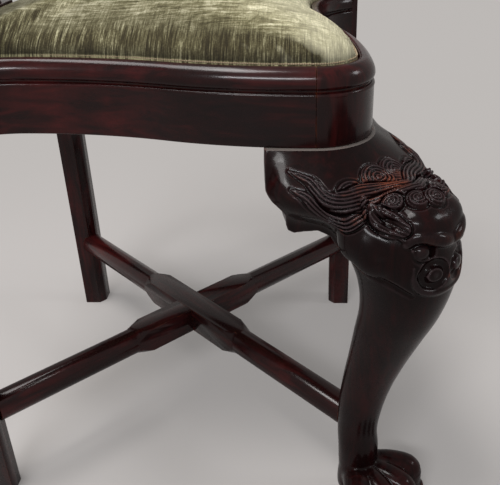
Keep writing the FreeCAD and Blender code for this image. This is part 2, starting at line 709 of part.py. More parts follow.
# Knee brackets
def bracket():
    """Shaped bracket glued under the front left rail and against the knee."""
    end = FRONT_REACH - size["ear_piece_reach"]
    low_end = RAIL_LOW - size["ear_piece_depth"]
    low_knee = RAIL_LOW - size["ear_piece_drop"]
    inner = CORNER + size["corner_radius"] * 0.5
    step = (inner - end) / 4
    curve = Part.BSplineCurve()
    curve.interpolate([V(end, 0, low_end), V(end + step * 0.45, 0, low_end - 12),
                       V(end + step * 0.75, 0, low_knee + 14), V(end + step * 1.3, 0, low_knee + 3),
                       V(inner, 0, low_knee - 4)])
    edges = [curve.toShape(), Part.LineSegment(V(inner, 0, low_knee - 4), V(inner, 0, RAIL_LOW)).toShape(),
             Part.LineSegment(V(inner, 0, RAIL_LOW), V(end, 0, RAIL_LOW)).toShape(),
             Part.LineSegment(V(end, 0, RAIL_LOW), V(end, 0, low_end)).toShape()]
    outline = Part.Face(Part.Wire(edges))
    outer = FRONT_REACH + size["ear_piece_lip"]
    depth = size["ear_piece_lip"] + size["rail_thickness"]
    outline.translate(V(0, -outer, 0))
    solid = outline.extrude(V(0, depth, 0))
    solid.Placement = SEAT_TURN.multiply(solid.Placement)
    limit = box(-DIAGONAL, -0.2, -2 * DIAGONAL, 0, 0, size["rim_height"])
    return solid.cut(leg_feature.Shape).common(limit)


left_bracket = feature("left_bracket", bracket())
register(left_bracket, "knee_bracket_left")
register(mirrored(left_bracket, "right_bracket"), "knee_bracket_right")


# Cross stretcher
def stretcher(name, label, along, notch_from_top, legs):
    """Square in the middle, round towards the legs, halved over its partner."""
    turn = FreeCAD.Rotation(V(0, 1, 0), 90) if along == "x" else FreeCAD.Rotation(V(1, 0, 0), -90)
    reach = "(sizes.leg_spacing / sqrt(2) - (sizes.leg_width - sizes.leg_bevel) / sqrt(2) + 4)"
    pin_reach = ("(sizes.leg_spacing / sqrt(2) - (sizes.leg_width - sizes.leg_bevel) / sqrt(2)"
                 " + sizes.stretcher_pin_length)")
    front_reach = "(sizes.leg_spacing / sqrt(2) + sizes.ankle_forward - sizes.ankle_width / 2 + 6)"
    front_pin = ("(sizes.leg_spacing / sqrt(2) + sizes.ankle_forward - sizes.ankle_width / 2"
                 " + sizes.stretcher_pin_length)")
    height = "sizes.stretcher_height"
    start = (front_reach, front_pin) if along == "y" else (reach, pin_reach)

    def rod(suffix, kind, begin, length, **sizes):
        place = ["0", "0", height]
        place["xy".index(along)] = begin
        return bound(kind, name + suffix, place, turn, Height=length, **sizes)

    block = "sizes.stretcher_block"
    slope = "sizes.stretcher_shoulder"
    round_radius = "sizes.stretcher_width / 2"
    square_radius = "sizes.stretcher_width / 2 * sqrt(2)"
    parts = [rod("_middle", "Cylinder", "-%s / 2" % block, block, Radius=square_radius),
             rod("_shoulder_a", "Cone", "-%s / 2 - %s" % (block, slope), slope,
                 Radius1=round_radius, Radius2=square_radius),
             rod("_shoulder_b", "Cone", "%s / 2" % block, slope,
                 Radius1=square_radius, Radius2=round_radius),
             rod("_round", "Cylinder", "-" + start[0], "%s + %s" % (start[0], reach),
                 Radius=round_radius)]
    turned = fused(parts, name + "_turned")
    width = "sizes.stretcher_width"
    length = "3 * sizes.leg_spacing"
    side = "-%s / 2" % width
    places = {"x": ["-%s / 2" % length, side, "%s - %s / 2" % (height, width)],
              "y": [side, "-%s / 2" % length, "%s - %s / 2" % (height, width)]}
    lengths = {"x": dict(Length=length, Width=width), "y": dict(Length=width, Width=length)}
    bar = bound("Box", name + "_bar", places[along], None, Height=width, **lengths[along])
    shaped = common([turned, bar], name + "_shaped")
    pin = rod("_pin", "Cylinder", "-" + start[1], "%s + %s" % (start[1], pin_reach),
              Radius="sizes.stretcher_pin_radius")
    whole = fused([shaped, pin], name + "_whole")
    low = height if notch_from_top else "%s - %s" % (height, width)
    notch = bound("Box", name + "_notch", [side, side, low], None,
                  Length=width, Width=width, Height=width)
    result = cut(whole, notch, name + "_halved")
    for index, leg in enumerate(legs):
        result = cut(result, leg, "%s_scribed_%d" % (name, index))
    return register(result, label)


stretcher("cross_bar", "stretcher_left_right", "x", True, (left_leg, right_leg))
stretcher("long_bar", "stretcher_front_back", "y", False, (back_leg, leg_feature))


# Glue blocks inside the corners of the frame
def glue_block(direction):
    """Corner block filling the angle between two rails behind a leg."""
    bottom = RAIL_LOW + 4
    inside = round_wire(size["rail_thickness"], BACK_REACH - BACK_THICKNESS)
    space = prism(inside, bottom, bottom + size["glue_block_height"])
    space.Placement = SEAT_TURN.multiply(space.Placement)
    corner = DIAGONAL - size["leg_width"] / math.sqrt(2)
    if direction[1] < 0:
        corner = (FRONT_REACH - size["rail_thickness"]) * math.sqrt(2)
    across = 3 * size["glue_block_width"]
    slab = Part.makeBox(size["glue_block_width"] * 2, across * 2, size["rim_height"],
                        V(corner - size["glue_block_width"], -across, 0))
    slab.rotate(V(0, 0, 0), V(0, 0, 1), math.degrees(math.atan2(direction[1], direction[0])))
    block = space.common(slab)
    for leg in (left_leg, right_leg, back_leg, leg_feature):
        block = block.cut(leg.Shape)
    return block


for name, direction in (("front", (0, -1)), ("left", (-1, 0)), ("right", (1, 0)), ("back", (0, 1))):
    register(feature("block_" + name, glue_block(direction)), "corner_block_" + name)


# Splats, arms and crest
def splat():
    """Pierced vase splat of the back right side, leaning outwards."""
    foot = size["rim_height"] + size["shoe_height"] - size["splat_seat"]
    head = size["arm_height"] + size["splat_seat"]
    rise = head - foot
    length = math.hypot(rise, size["splat_lean"])
    widths = ((0, "splat_foot"), (0.1, "splat_foot"), (0.34, "splat_waist"),
              (0.8, "splat_head"), (1, "splat_head"))
    points = [V(size[alias] / 2, share * length, 0) for share, alias in widths]
    side = Part.BSplineCurve()
    side.interpolate(points)
    other = Part.BSplineCurve()
    other.interpolate([V(-point.x, point.y, 0) for point in points])
    edges = [side.toShape(), Part.LineSegment(V(-points[-1].x, length, 0), points[-1]).toShape(),
             other.toShape(), Part.LineSegment(V(-points[0].x, 0, 0), points[0]).toShape()]
    plate = Part.Face(Part.Wire(Part.__sortEdges__(edges))).extrude(V(0, 0, size["splat_thickness"]))
    holes = []
    for side_sign in (-1, 1):
        holes.append(slot(side_sign * 13, 0.16 * length, side_sign * 11, 0.5 * length, 5.5))
        holes.append(slot(side_sign * 30, 0.14 * length, side_sign * 22, 0.34 * length, 4.5))
        holes.append(slot(side_sign * 16, 0.62 * length, side_sign * 26, 0.86 * length, 7.5))
        holes.append(slot(side_sign * 40, 0.66 * length, side_sign * 52, 0.84 * length, 5.5))
    plate = plate.cut(holes[0].multiFuse(holes[1:]))
    plate.translate(V(0, 0, -size["splat_thickness"] / 2))
    lean = math.degrees(math.atan2(size["splat_lean"], rise))
    plate.rotate(V(0, 0, 0), V(1, 0, 0), 90 - lean)
    plate.translate(V(0, BACK_REACH - size["back_rim_width"] / 2, foot))
    return plate


def slot(x0, y0, x1, y1, radius):
    """A rounded slot through the splat, between two points."""
    way = V(x1 - x0, y1 - y0, 0)
    side = V(-way.y, way.x, 0).normalize() * radius
    start, end = V(x0, y0, 0), V(x1, y1, 0)
    tip = way.normalize() * radius
    edges = [Part.Arc(start + side, start - tip, start - side).toShape(),
             Part.LineSegment(start - side, end - side).toShape(),
             Part.Arc(end - side, end + tip, end + side).toShape(),
             Part.LineSegment(end + side, start + side).toShape()]
    hole = Part.Face(Part.Wire(edges)).extrude(V(0, 0, 4 * size["splat_thickness"]))
    hole.translate(V(0, 0, -2 * size["splat_thickness"]))
    return hole


splat_right = feature("right_splat", splat(), SEAT_TURN)
register(splat_right, "splat_right")
splat_left = register(mirrored(splat_right, "left_splat"), "splat_left")


def shoe():
    """Shoe of the back right splat, fixed on the rail, hollowed on both sides."""
    body = doc.addObject("PartDesign::Body", "right_shoe")
    foot = "sizes.shoe_width / 2"
    middle = "(sizes.leg_spacing / 2 + sizes.leg_width / 2 - sizes.back_setback - sizes.back_rim_width / 2)"
    low = "sizes.rim_height"
    neck = "(sizes.splat_thickness / 2 + 2.5)"
    high = "(sizes.rim_height + sizes.shoe_height)"
    corners = [("%s - %s" % (middle, foot), low), ("%s + %s" % (middle, foot), low),
               ("%s + %s" % (middle, foot), low + " + 3"), ("%s + %s" % (middle, neck), low + " + 6"),
               ("%s + %s + 2" % (middle, neck), high), ("%s - %s" % (middle, neck), high),
               ("%s - %s" % (middle, neck), low + " + 6"), ("%s - %s" % (middle, foot), low + " + 3")]
    section = profile(body, "YZ_Plane", "right_shoe_section", corners, "-sizes.shoe_length / 2")
    pad(body, section, "right_shoe_length", "sizes.shoe_length")
    body.Placement = SEAT_TURN
    return cut(body, splat_right, "right_shoe_slotted")


shoe_right = register(shoe(), "splat_shoe_right")
register(mirrored(shoe_right, "left_shoe"), "splat_shoe_left")


def arm_ring(start, angle):
    """Part of the round of the arms, its edges rounded."""
    half, thick = size["arm_width"] / 2, size["arm_thickness"]
    edge = thick * 0.3
    section = rounded_section(ARM_RADIUS - half, ARM_RADIUS + half, size["arm_height"], thick, edge)
    ring = section.revolve(V(0, 0, 0), V(0, 0, 1), angle)
    ring.rotate(V(0, 0, 0), V(0, 0, 1), start)
    return ring


def rounded_section(inner, outer, low, thick, edge):
    """Upright face in the XZ plane with rounded corners; an inner radius of 0 keeps them square."""
    high = low + thick
    dip = edge * (1 - math.sqrt(0.5))
    pieces = [[(inner, low + edge), (inner, high - edge)],
              [(inner, high - edge), (inner + dip, high - dip), (inner + edge, high)],
              [(inner + edge, high), (outer - edge, high)],
              [(outer - edge, high), (outer - dip, high - dip), (outer, high - edge)],
              [(outer, high - edge), (outer, low + edge)],
              [(outer, low + edge), (outer - dip, low + dip), (outer - edge, low)],
              [(outer - edge, low), (inner + edge, low)],
              [(inner + edge, low), (inner + dip, low + dip), (inner, low + edge)]]
    if inner == 0:
        pieces = [[(0, low), (0, high)], [(0, high), (outer - edge, high)]] + pieces[3:6]
        pieces.append([(outer - edge, low), (0, low)])
    edges = []
    for piece in pieces:
        points = [V(x, 0, z) for x, z in piece]
        edges.append(Part.Arc(*points).toShape() if len(points) == 3 else Part.makeLine(*points))
    return Part.Face(Part.Wire(edges))


def arm():
    """Right arm: a quarter ring from the back post, ending in a rounded pad past the side post."""
    end_angle = math.degrees(math.asin(size["arm_overhang"] / ARM_RADIUS))
    ring = arm_ring(-end_angle, 90 + end_angle)
    tip = rounded_section(0, size["arm_end_radius"], size["arm_height"], size["arm_thickness"],
                          size["arm_thickness"] * 0.3).revolve(V(0, 0, 0), V(0, 0, 1), 360)
    tip.translate(V(ARM_RADIUS * math.cos(math.radians(end_angle)), -size["arm_overhang"], 0))
    solid = ring.fuse(tip)
    for piece in (right_leg, back_leg, splat_right, crest_screws()):
        solid = solid.cut(piece.Shape)
    return solid


def crest_screws():
    """Four screws driven up through the arms into the crest."""
    if "crest_screws" in nodes:
        return nodes["crest_screws"]
    screws = []
    bottom = size["arm_height"]
    for share in (-0.62, -0.25, 0.25, 0.62):
        turn = math.radians(share * size["crest_angle"])
        place = V(ARM_RADIUS * math.sin(turn), ARM_RADIUS * math.cos(turn), bottom)
        shank = Part.makeCylinder(size["screw_radius"], size["screw_length"], place)
        head = Part.makeCone(size["screw_head_radius"], size["screw_radius"],
                             size["screw_head_radius"] - size["screw_radius"], place)
        screws.append(shank.fuse(head).removeSplitter())
    return register(feature("crest_screw_set", Part.makeCompound(screws)), "crest_screws")


arm_right = register(feature("right_arm", arm()), "arm_right")
register(mirrored(arm_right, "left_arm"), "arm_left")


def crest():
    """Crest over the joint of the two arms, stepped down to its ends."""
    low = size["arm_height"] + size["arm_thickness"]
    high = low + size["crest_height"]
    half = size["crest_width"] / 2
    span = ARM_RADIUS * math.sin(math.radians(size["crest_angle"]))
    section = Part.makePolygon([V(0, ARM_RADIUS - half, low), V(0, ARM_RADIUS + half, low),
                                V(0, ARM_RADIUS + half * 0.95, high), V(0, ARM_RADIUS - half * 0.1, high),
                                V(0, ARM_RADIUS - half, low)])
    ring = Part.Face(Part.Wire(section)).revolve(V(0, 0, 0), V(0, 0, 1), 150)
    ring.rotate(V(0, 0, 0), V(0, 0, 1), -75)
    rise = size["crest_height"]
    top = Part.BSplineCurve()
    top.interpolate([V(-span, 0, low + rise * 0.2), V(-span * 0.86, 0, low + rise * 0.32),
                     V(-span * 0.62, 0, low + rise * 0.86), V(0, 0, high - 0.5),
                     V(span * 0.62, 0, low + rise * 0.86), V(span * 0.86, 0, low + rise * 0.32),
                     V(span, 0, low + rise * 0.2)])
    edges = [top.toShape(), Part.LineSegment(V(span, 0, low + rise * 0.2), V(span, 0, low)).toShape(),
             Part.LineSegment(V(span, 0, low), V(-span, 0, low)).toShape(),
             Part.LineSegment(V(-span, 0, low), V(-span, 0, low + rise * 0.2)).toShape()]
    side_view = Part.Face(Part.Wire(edges)).extrude(V(0, 2 * ARM_RADIUS, 0))
    return ring.common(side_view).cut(crest_screws().Shape)


register(feature("crest_rail", crest()), "crest")


# Drop-in seat
# Cushion sections: share of the rise above the slip frame, share of the plan size
TACKS = 28
CUSHION = ((0.0, 1.0), (0.12, 0.995), (0.25, 0.982), (0.38, 0.961), (0.5, 0.932), (0.62, 0.893),
           (0.74, 0.843), (0.84, 0.78), (0.91, 0.7), (0.96, 0.59), (0.988, 0.45), (1.0, 0.26))


def dome(inset, low, high):
    """Crowned cushion form over the seat outline."""
    wires = [seat_wire(inset, low + (high - low) * rise, scale) for rise, scale in CUSHION]
    return Part.makeLoft(wires, True, True).cut(post_corners(inset, 12))


def slip_ring():
    """The whole slip frame before it is divided at its mitres."""
    outer = seat_layer(CLOTH, SLIP_LOW, SLIP_TOP)
    inner = prism(seat_wire(CLOTH + size["slip_width"], 0), SLIP_LOW, SLIP_TOP)
    return outer.cut(inner)


def quarter(direction):
    """Wedge of the seat towards one side, bounded by the diagonals."""
    far = 2 * size["leg_spacing"]
    across = V(-direction[1], direction[0], 0)
    way = V(direction[0], direction[1], 0)
    corners = [V(0, 0, 0), way * far + across * far, way * far - across * far, V(0, 0, 0)]
    return Part.Face(Part.makePolygon(corners)).extrude(V(0, 0, 2 * size["rim_height"]))


whole_slip = slip_ring()
for name, direction in (("front_left", (0, -1)), ("front_right", (1, 0)),
                        ("back_right", (0, 1)), ("back_left", (-1, 0))):
    piece = whole_slip.common(quarter(direction))
    register(feature("slip_" + name, piece, SEAT_TURN), "slip_frame_" + name)


def webbing():
    """Straps stretched across the slip frame both ways."""
    straps = []
    reach = BACK_REACH
    pitch = size["webbing_width"] * 1.5
    half = size["webbing_width"] / 2
    for index in (-1, 0, 1):
        middle = index * pitch
        straps.append(box(-reach, reach, middle - half, middle + half, SLIP_TOP, WEB_TOP))
        straps.append(box(middle - half, middle + half, -reach, reach, SLIP_TOP, WEB_TOP))
    area = seat_layer(CLOTH + size["slip_width"] * 0.3, SLIP_TOP, WEB_TOP)
    return straps[0].multiFuse(straps[1:]).common(area).removeSplitter()


register(feature("webbing_straps", webbing(), SEAT_TURN), "webbing")
register(feature("base_cloth", seat_layer(CLOTH, WEB_TOP, PAD_LOW), SEAT_TURN), "hessian")
stuffing = dome(CLOTH, PAD_LOW, CROWN_TOP - CLOTH * 1.5)
register(feature("hair_stuffing", stuffing, SEAT_TURN), "stuffing")


def cover():
    """Velvet cover: over the stuffing, down the frame's sides and turned under it."""
    shell = seat_layer(0, SEAT_LOW, PAD_LOW).fuse(dome(0, PAD_LOW, CROWN_TOP))
    inside = seat_layer(CLOTH, SLIP_LOW, PAD_LOW).fuse(stuffing)
    opening = seat_layer(CLOTH + size["cloth_turn"], SEAT_LOW - 1, SLIP_LOW + 1)
    return shell.cut(inside).cut(opening)


register(feature("velvet_cover", cover(), SEAT_TURN), "seat_cover")


def tacks():
    """Tacks along the turned-under edge of the velvet."""
    inset = size["rim_width"] + size["seat_gap"] + size["cloth_turn"] - 4
    back = BACK_REACH - size["back_rim_width"] - size["seat_gap"] - size["cloth_turn"] + 4
    path = round_wire(inset, back)
    heads = []
    for point in path.discretize(TACKS + 1)[:TACKS]:
        if point.x > CORNER - size["tack_length"] and point.y < size["tack_length"] - CORNER:
            continue
        middle = V(point.x, point.y, SEAT_LOW - size["tack_head"])
        head = Part.makeCylinder(size["tack_radius"], size["tack_head"], middle)
        shank = Part.makeCylinder(size["tack_radius"] * 0.3, size["tack_length"], middle)
        heads.append(head.fuse(shank).removeSplitter())
    return Part.makeCompound(heads)


register(feature("cover_tacks", tacks(), SEAT_TURN), "tacks")


def finish():
    """Check every piece and write one STEP file for each node."""
    doc.recompute()
    for obj in doc.Objects:
        if "Invalid" in obj.State or "Error" in obj.State:
            raise RuntimeError("failed object " + obj.Name)
    for name, obj in nodes.items():
        shape = obj.Shape
        if shape.isNull() or not shape.isValid() or not shape.Solids:
            raise RuntimeError("bad shape " + name)
    os.makedirs("parts", exist_ok=True)
    for name, obj in nodes.items():
        obj.Shape.exportStep(os.path.join("parts", name + ".step"))
        print("%-24s solids %d volume %.1f cm3" % (name, len(obj.Shape.Solids), obj.Shape.Volume / 1000))


finish()
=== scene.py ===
import math

import bmesh
import bpy
import numpy as np
from mathutils import Matrix, Vector


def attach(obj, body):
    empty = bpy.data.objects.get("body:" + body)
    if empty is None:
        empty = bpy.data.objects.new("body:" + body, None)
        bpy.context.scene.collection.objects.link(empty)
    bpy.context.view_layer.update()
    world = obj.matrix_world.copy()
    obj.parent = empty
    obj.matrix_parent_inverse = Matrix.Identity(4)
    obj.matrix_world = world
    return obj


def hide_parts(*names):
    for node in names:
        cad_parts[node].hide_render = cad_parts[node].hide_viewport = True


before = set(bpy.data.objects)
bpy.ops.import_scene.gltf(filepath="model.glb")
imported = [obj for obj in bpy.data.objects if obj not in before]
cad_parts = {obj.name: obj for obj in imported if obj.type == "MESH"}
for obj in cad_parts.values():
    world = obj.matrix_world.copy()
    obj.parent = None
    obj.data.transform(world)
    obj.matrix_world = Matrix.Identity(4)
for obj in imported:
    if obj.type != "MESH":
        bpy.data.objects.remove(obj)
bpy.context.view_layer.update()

MM = 1000                       # millimetres in a metre

# Seat and frame sizes in millimetres, the same as the solids'
RIM = 466.0                     # top of the seat rails
RAIL_LOW = 401.0                # their lower edge
LEDGE = 446.0                   # the rebate that carries the seat
REACH = 203.0                   # front rails' face at the rounded corner, from the seat's middle
WAIST = 163.0                   # the same in the middle of their hollow
WAIST_PLACE = 105.0             # that middle's place along the rail
FLARE = 89.38                   # radius of the sweep from the hollow back out to the side leg
CORNER_RADIUS = 50.0            # rounded front corner
CORNER = REACH - CORNER_RADIUS
RAIL_THICKNESS = 28.0
RIM_WIDTH = 13.0                # front rails' top outside the drop-in seat
BACK_REACH = 207.0              # back rails' face from the seat's middle
BACK_RIM = 16.0                 # back rails' top outside the drop-in seat
LEG_SPACING = 389.0             # between the axes of two neighbouring legs
LEG_THICKNESS = 30.0
LEG_FACE = (LEG_SPACING - LEG_THICKNESS) / 2
FORE = LEG_SPACING / math.sqrt(2)  # corner post's axis in front of the chair's middle
# Two equal arcs take the face from the corner to the hollow: their angle and radius
SWING = 2 * math.atan((REACH - WAIST) / (CORNER + WAIST_PLACE))
SWING_RADIUS = (CORNER + WAIST_PLACE) / (2 * math.sin(SWING))


def seat_point(u, v, z):
    """Seat coordinates in millimetres to the frame's metres."""
    return ((u + v) / math.sqrt(2) / MM, (v - u) / math.sqrt(2) / MM, z / MM)


def new_object(name, points, faces, material):
    """A smooth-shaded mesh object in the scene."""
    mesh = bpy.data.meshes.new(name)
    mesh.from_pydata([tuple(p) for p in points], [], [tuple(int(i) for i in f) for f in faces])
    mesh.validate()
    mesh.materials.append(material)
    mesh.shade_smooth()
    obj = bpy.data.objects.new(name, mesh)
    bpy.context.scene.collection.objects.link(obj)
    return obj


def apply_modifiers(obj):
    """Bake an object's modifiers into its mesh."""
    view = bpy.context.evaluated_depsgraph_get()
    mesh = bpy.data.meshes.new_from_object(obj.evaluated_get(view))
    obj.modifiers.clear()
    obj.data = mesh


def stand_for(obj, body, slot, *nodes):
    """Let a piece ride on a body and show in place of its solids."""
    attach(obj, body)
    if nodes:
        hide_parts(*nodes)


# Camera of the photograph, as solved from it: turns and place in seat coordinates
YAW, PITCH, ROLL = [math.radians(turn) for turn in (-1.94, 28.23, -0.86)]
CAMERA_PLACE = (146.0, -740.9, 599.5)
PHOTO_WIDTH = 500               # pixels
PHOTO_MIDDLE = (250, 242.5)
AXIS_PIXEL = (287.2, 245.0)     # where the optical axis meets the picture
FOCAL_PIXELS = 685.8
SENSOR = 36


def make_camera():
    """Camera at the photograph's place."""
    ahead = Vector((math.sin(YAW), math.cos(YAW), 0))
    side = Vector((math.cos(YAW), -math.sin(YAW), 0))
    up = Vector((0, 0, 1))
    look = ahead * math.cos(PITCH) - up * math.sin(PITCH)
    rise = ahead * math.sin(PITCH) + up * math.cos(PITCH)
    right = side * math.cos(ROLL) + rise * math.sin(ROLL)
    top = rise * math.cos(ROLL) - side * math.sin(ROLL)
    turn = Matrix.Rotation(math.radians(-45), 3, "Z")
    axes = Matrix([turn @ axis for axis in (right, top, -look)]).transposed().to_4x4()
    camera = bpy.data.objects.new("camera", bpy.data.cameras.new("camera"))
    camera.matrix_world = Matrix.Translation(seat_point(*CAMERA_PLACE)) @ axes
    camera.data.sensor_width = SENSOR
    camera.data.lens = SENSOR * FOCAL_PIXELS / PHOTO_WIDTH
    camera.data.shift_x = (PHOTO_MIDDLE[0] - AXIS_PIXEL[0]) / PHOTO_WIDTH
    camera.data.shift_y = (AXIS_PIXEL[1] - PHOTO_MIDDLE[1]) / PHOTO_WIDTH
    bpy.context.scene.collection.objects.link(camera)
    bpy.context.scene.camera = camera


make_camera()


# Materials
class Nodes:
    """Small helper for building a node material in a few words. Inputs are given by name, or by
    number as i0, i1 and so on."""

    def __init__(self, name):
        self.material = bpy.data.materials.new(name)
        self.material.use_nodes = True
        self.tree = self.material.node_tree
        self.shader = self.tree.nodes["Principled BSDF"]
        self.place = self.tree.nodes.new("ShaderNodeTexCoord").outputs["Object"]

    def add(self, kind, settings=None, **inputs):
        node = self.tree.nodes.new("ShaderNode" + kind)
        for key, value in (settings or {}).items():
            setattr(node, key, value)
        for key, value in inputs.items():
            self.put(node, key.replace("_", " "), value)
        return node

    def put(self, node, key, value):
        numbered = key[0] == "i" and key[1:].isdigit()
        socket = node.inputs[int(key[1:]) if numbered else key]
        if isinstance(value, bpy.types.NodeSocket):
            self.tree.links.new(value, socket)
        else:
            socket.default_value = value

    def mapped(self, scale, turn=(0, 0, 0)):
        """Coordinates turned first and then stretched along the turned axes."""
        turned = self.add("Mapping", Vector=self.place)
        turned.inputs["Rotation"].default_value = [math.radians(a) for a in turn]
        return self.add("Mapping", Vector=turned.outputs["Vector"], Scale=scale).outputs["Vector"]

    def noise(self, scale, detail=4, roughness=0.55, vector=None, distortion=0.0):
        node = self.add("TexNoise", Scale=scale, Detail=detail, Roughness=roughness,
                        Distortion=distortion, Vector=vector or self.place)
        return node.outputs["Fac"]

    def ramp(self, value, stops):
        node = self.add("ValToRGB", Fac=value)
        band = node.color_ramp
        while len(band.elements) < len(stops):
            band.elements.new(0.5)
        for element, (spot, shade) in zip(band.elements, stops):
            element.position = spot
            element.color = (*shade, 1) if isinstance(shade, tuple) else (shade, shade, shade, 1)
        return node.outputs["Color"]

    def mix(self, share, one, two, blend="MIX"):
        node = self.add("Mix", {"data_type": "RGBA", "blend_type": blend})
        self.put(node, "i0", share)
        self.put(node, "i6", one if isinstance(one, bpy.types.NodeSocket) else (*one, 1))
        self.put(node, "i7", two if isinstance(two, bpy.types.NodeSocket) else (*two, 1))
        return node.outputs[2]

    def math(self, kind, one, two, clamp=False):
        node = self.add("Math", {"operation": kind, "use_clamp": clamp})
        self.put(node, "i0", one)
        self.put(node, "i1", two)
        return node.outputs[0]

    def measure(self, kind, one, two):
        """Dot product or distance of two vectors."""
        return self.add("VectorMath", {"operation": kind}, i0=one, i1=two).outputs["Value"]

    def normal(self):
        return self.add("NewGeometry").outputs["Normal"]

    def height(self, vector):
        return self.add("SeparateXYZ", Vector=vector).outputs["Z"]

    def rescale(self, value, low, high, first=0.0, last=1.0):
        """A value between low and high as a share between first and last."""
        return self.add("MapRange", Value=value, From_Min=low, From_Max=high, To_Min=first,
                        To_Max=last).outputs["Result"]

    def bump(self, height, strength, distance, under=None):
        node = self.add("Bump", Strength=strength, Distance=distance, Height=height)
        if under is not None:
            self.put(node, "Normal", under)
        return node.outputs["Normal"]

    def set(self, **inputs):
        for key, value in inputs.items():
            self.put(self.shader, key.replace("_", " "), value)


def edge_wear(n, radius):
    """Light where an edge stands out, from the bevelled normal's difference."""
    bevel = n.add("Bevel", {"samples": 6}, Radius=radius).outputs["Normal"]
    return n.math("SUBTRACT", 1.0, n.measure("DOT_PRODUCT", bevel, n.normal()), True)


# painted shade for the carving's hollows
PAINTED_HOLLOW_SHADE = (0.0015, 0.001, 0.001)
WORN_ORANGE = (0.22, 0.048, 0.015)
# painted highlight for the carving's ridges
RIDGE_HIGHLIGHT = (0.05, 0.034, 0.036)
# painted highlight for the ledge under the corner post
LEDGE_HIGHLIGHT = (0.33, 0.29, 0.26)


def dark_mahogany(name, grain=(0, 0, 0), carved=False, worn_edges=3.0):
    """Old polished mahogany, nearly black, red where the light gets in, orange on worn edges."""
    n = Nodes(name)
    figure = n.noise(1.6, 6, 0.6, n.mapped((9, 70, 70), grain), 0.6)
    cloud = n.noise(7, 5, 0.6)
    patches = n.noise(26, 4, 0.6)
    red = n.ramp(n.mix(0.55, figure, cloud),
                 [(0.34, (0.004, 0.0014, 0.0014)), (0.48, (0.013, 0.0026, 0.0026)),
                  (0.6, (0.042, 0.0052, 0.0052)), (0.76, (0.1, 0.012, 0.01))])
    if carved:
        red = n.mix(0.55, red, (0.0015, 0.0008, 0.0008))
    dull = n.ramp(patches, [(0.42, 0.0), (0.7, 1.0)])
    colour = n.mix(n.math("MULTIPLY", dull, 0.4), red, (0.007, 0.0042, 0.0048))
    if carved:
        point = n.add("NewGeometry").outputs["Pointiness"]
        # painted shade: the carving's hollows, where pointiness is low, turn nearly black
        colour = n.mix(n.ramp(point, [(0.44, 1.0), (0.495, 0.0)]), colour, PAINTED_HOLLOW_SHADE)
        ridges = n.math("MULTIPLY", n.ramp(point, [(0.505, 0.0), (0.55, 1.0)]), 0.85)
        patch = n.ramp(n.noise(22, 4, 0.6), [(0.52, 0.0), (0.66, 1.0)])
        worn = n.math("MULTIPLY", ridges, patch, True)
        # painted highlight: a pale line on the narrow ledge under the corner post, where its edge
        # catches the light
        above = n.math("GREATER_THAN", n.height(n.place), (RAIL_LOW - 0.8) / MM)
        colour = n.mix(n.math("MULTIPLY", above, 0.4), colour, LEDGE_HIGHLIGHT)
        # painted highlight: the carving's ridges turn a lighter grey
        colour = n.mix(n.math("MULTIPLY", ridges, 0.8), colour, RIDGE_HIGHLIGHT)
    else:
        spots = n.ramp(n.noise(60, 5, 0.7), [(0.42, 0.0), (0.62, 1.0)])
        edges = n.math("MULTIPLY", edge_wear(n, 0.0016), worn_edges, True)
        worn = n.math("MULTIPLY", edges, spots, True)
    colour = n.mix(n.math("MULTIPLY", worn, 0.8, True), colour, WORN_ORANGE)
    pores = n.noise(1.0, 3, 0.7, n.mapped((60, 900, 900), grain))
    marks = n.mix(0.5, n.noise(14, 6, 0.65), n.noise(160, 4, 0.7))
    bump = n.bump(pores, 0.12, 0.0004)
    bump = n.bump(n.noise(18, 4, 0.6), 0.1, 0.0014, bump)
    n.set(Base_Color=colour, Roughness=n.ramp(marks, [(0.3, 0.2), (0.7, 0.36)]), Normal=bump)
    if carved:
        n.set(Specular_IOR_Level=0.04, Coat_Weight=0.16, Coat_Roughness=0.12)
    else:
        n.set(Specular_IOR_Level=0.06, Coat_Weight=0.32, Coat_Roughness=0.14)
    return n.material


def raw_wood(name):
    """Unfinished secondary wood."""
    n = Nodes(name)
    rings = n.noise(3, 6, 0.6, n.mapped((5, 60, 60), (0, 0, 45)), 1.0)
    colour = n.ramp(rings, [(0.3, (0.2, 0.115, 0.055)), (0.55, (0.36, 0.23, 0.12)),
                            (0.75, (0.46, 0.32, 0.18))])
    n.set(Base_Color=colour, Roughness=0.72, Normal=n.bump(rings, 0.2, 0.0006))
    return n.material


def woven(name, dark, light, pitch):
    """Plain weave, its threads along the seat's sides."""
    n = Nodes(name)
    turned = n.mapped((1, 1, 1), (0, 0, 45))
    warp, weft = [n.add("TexWave", {"wave_type": "BANDS", "bands_direction": way}, Scale=pitch,
                        Vector=turned, Distortion=1.5).outputs["Color"] for way in "XY"]
    cloth = n.mix(0.5, warp, weft, "MULTIPLY")
    n.set(Base_Color=n.mix(cloth, dark, light), Roughness=0.9, Normal=n.bump(cloth, 0.5, 0.0006))
    return n.material


def dark_iron():
    """Iron with a little rust, for tacks and screws."""
    n = Nodes("iron")
    rust = n.noise(300, 5, 0.6)
    n.set(Base_Color=n.ramp(rust, [(0.4, (0.05, 0.05, 0.055)), (0.7, (0.12, 0.07, 0.05))]),
          Roughness=n.ramp(rust, [(0.3, 0.35), (0.7, 0.6)]), Metallic=0.8,
          Normal=n.bump(rust, 0.2, 0.0002))
    return n.material


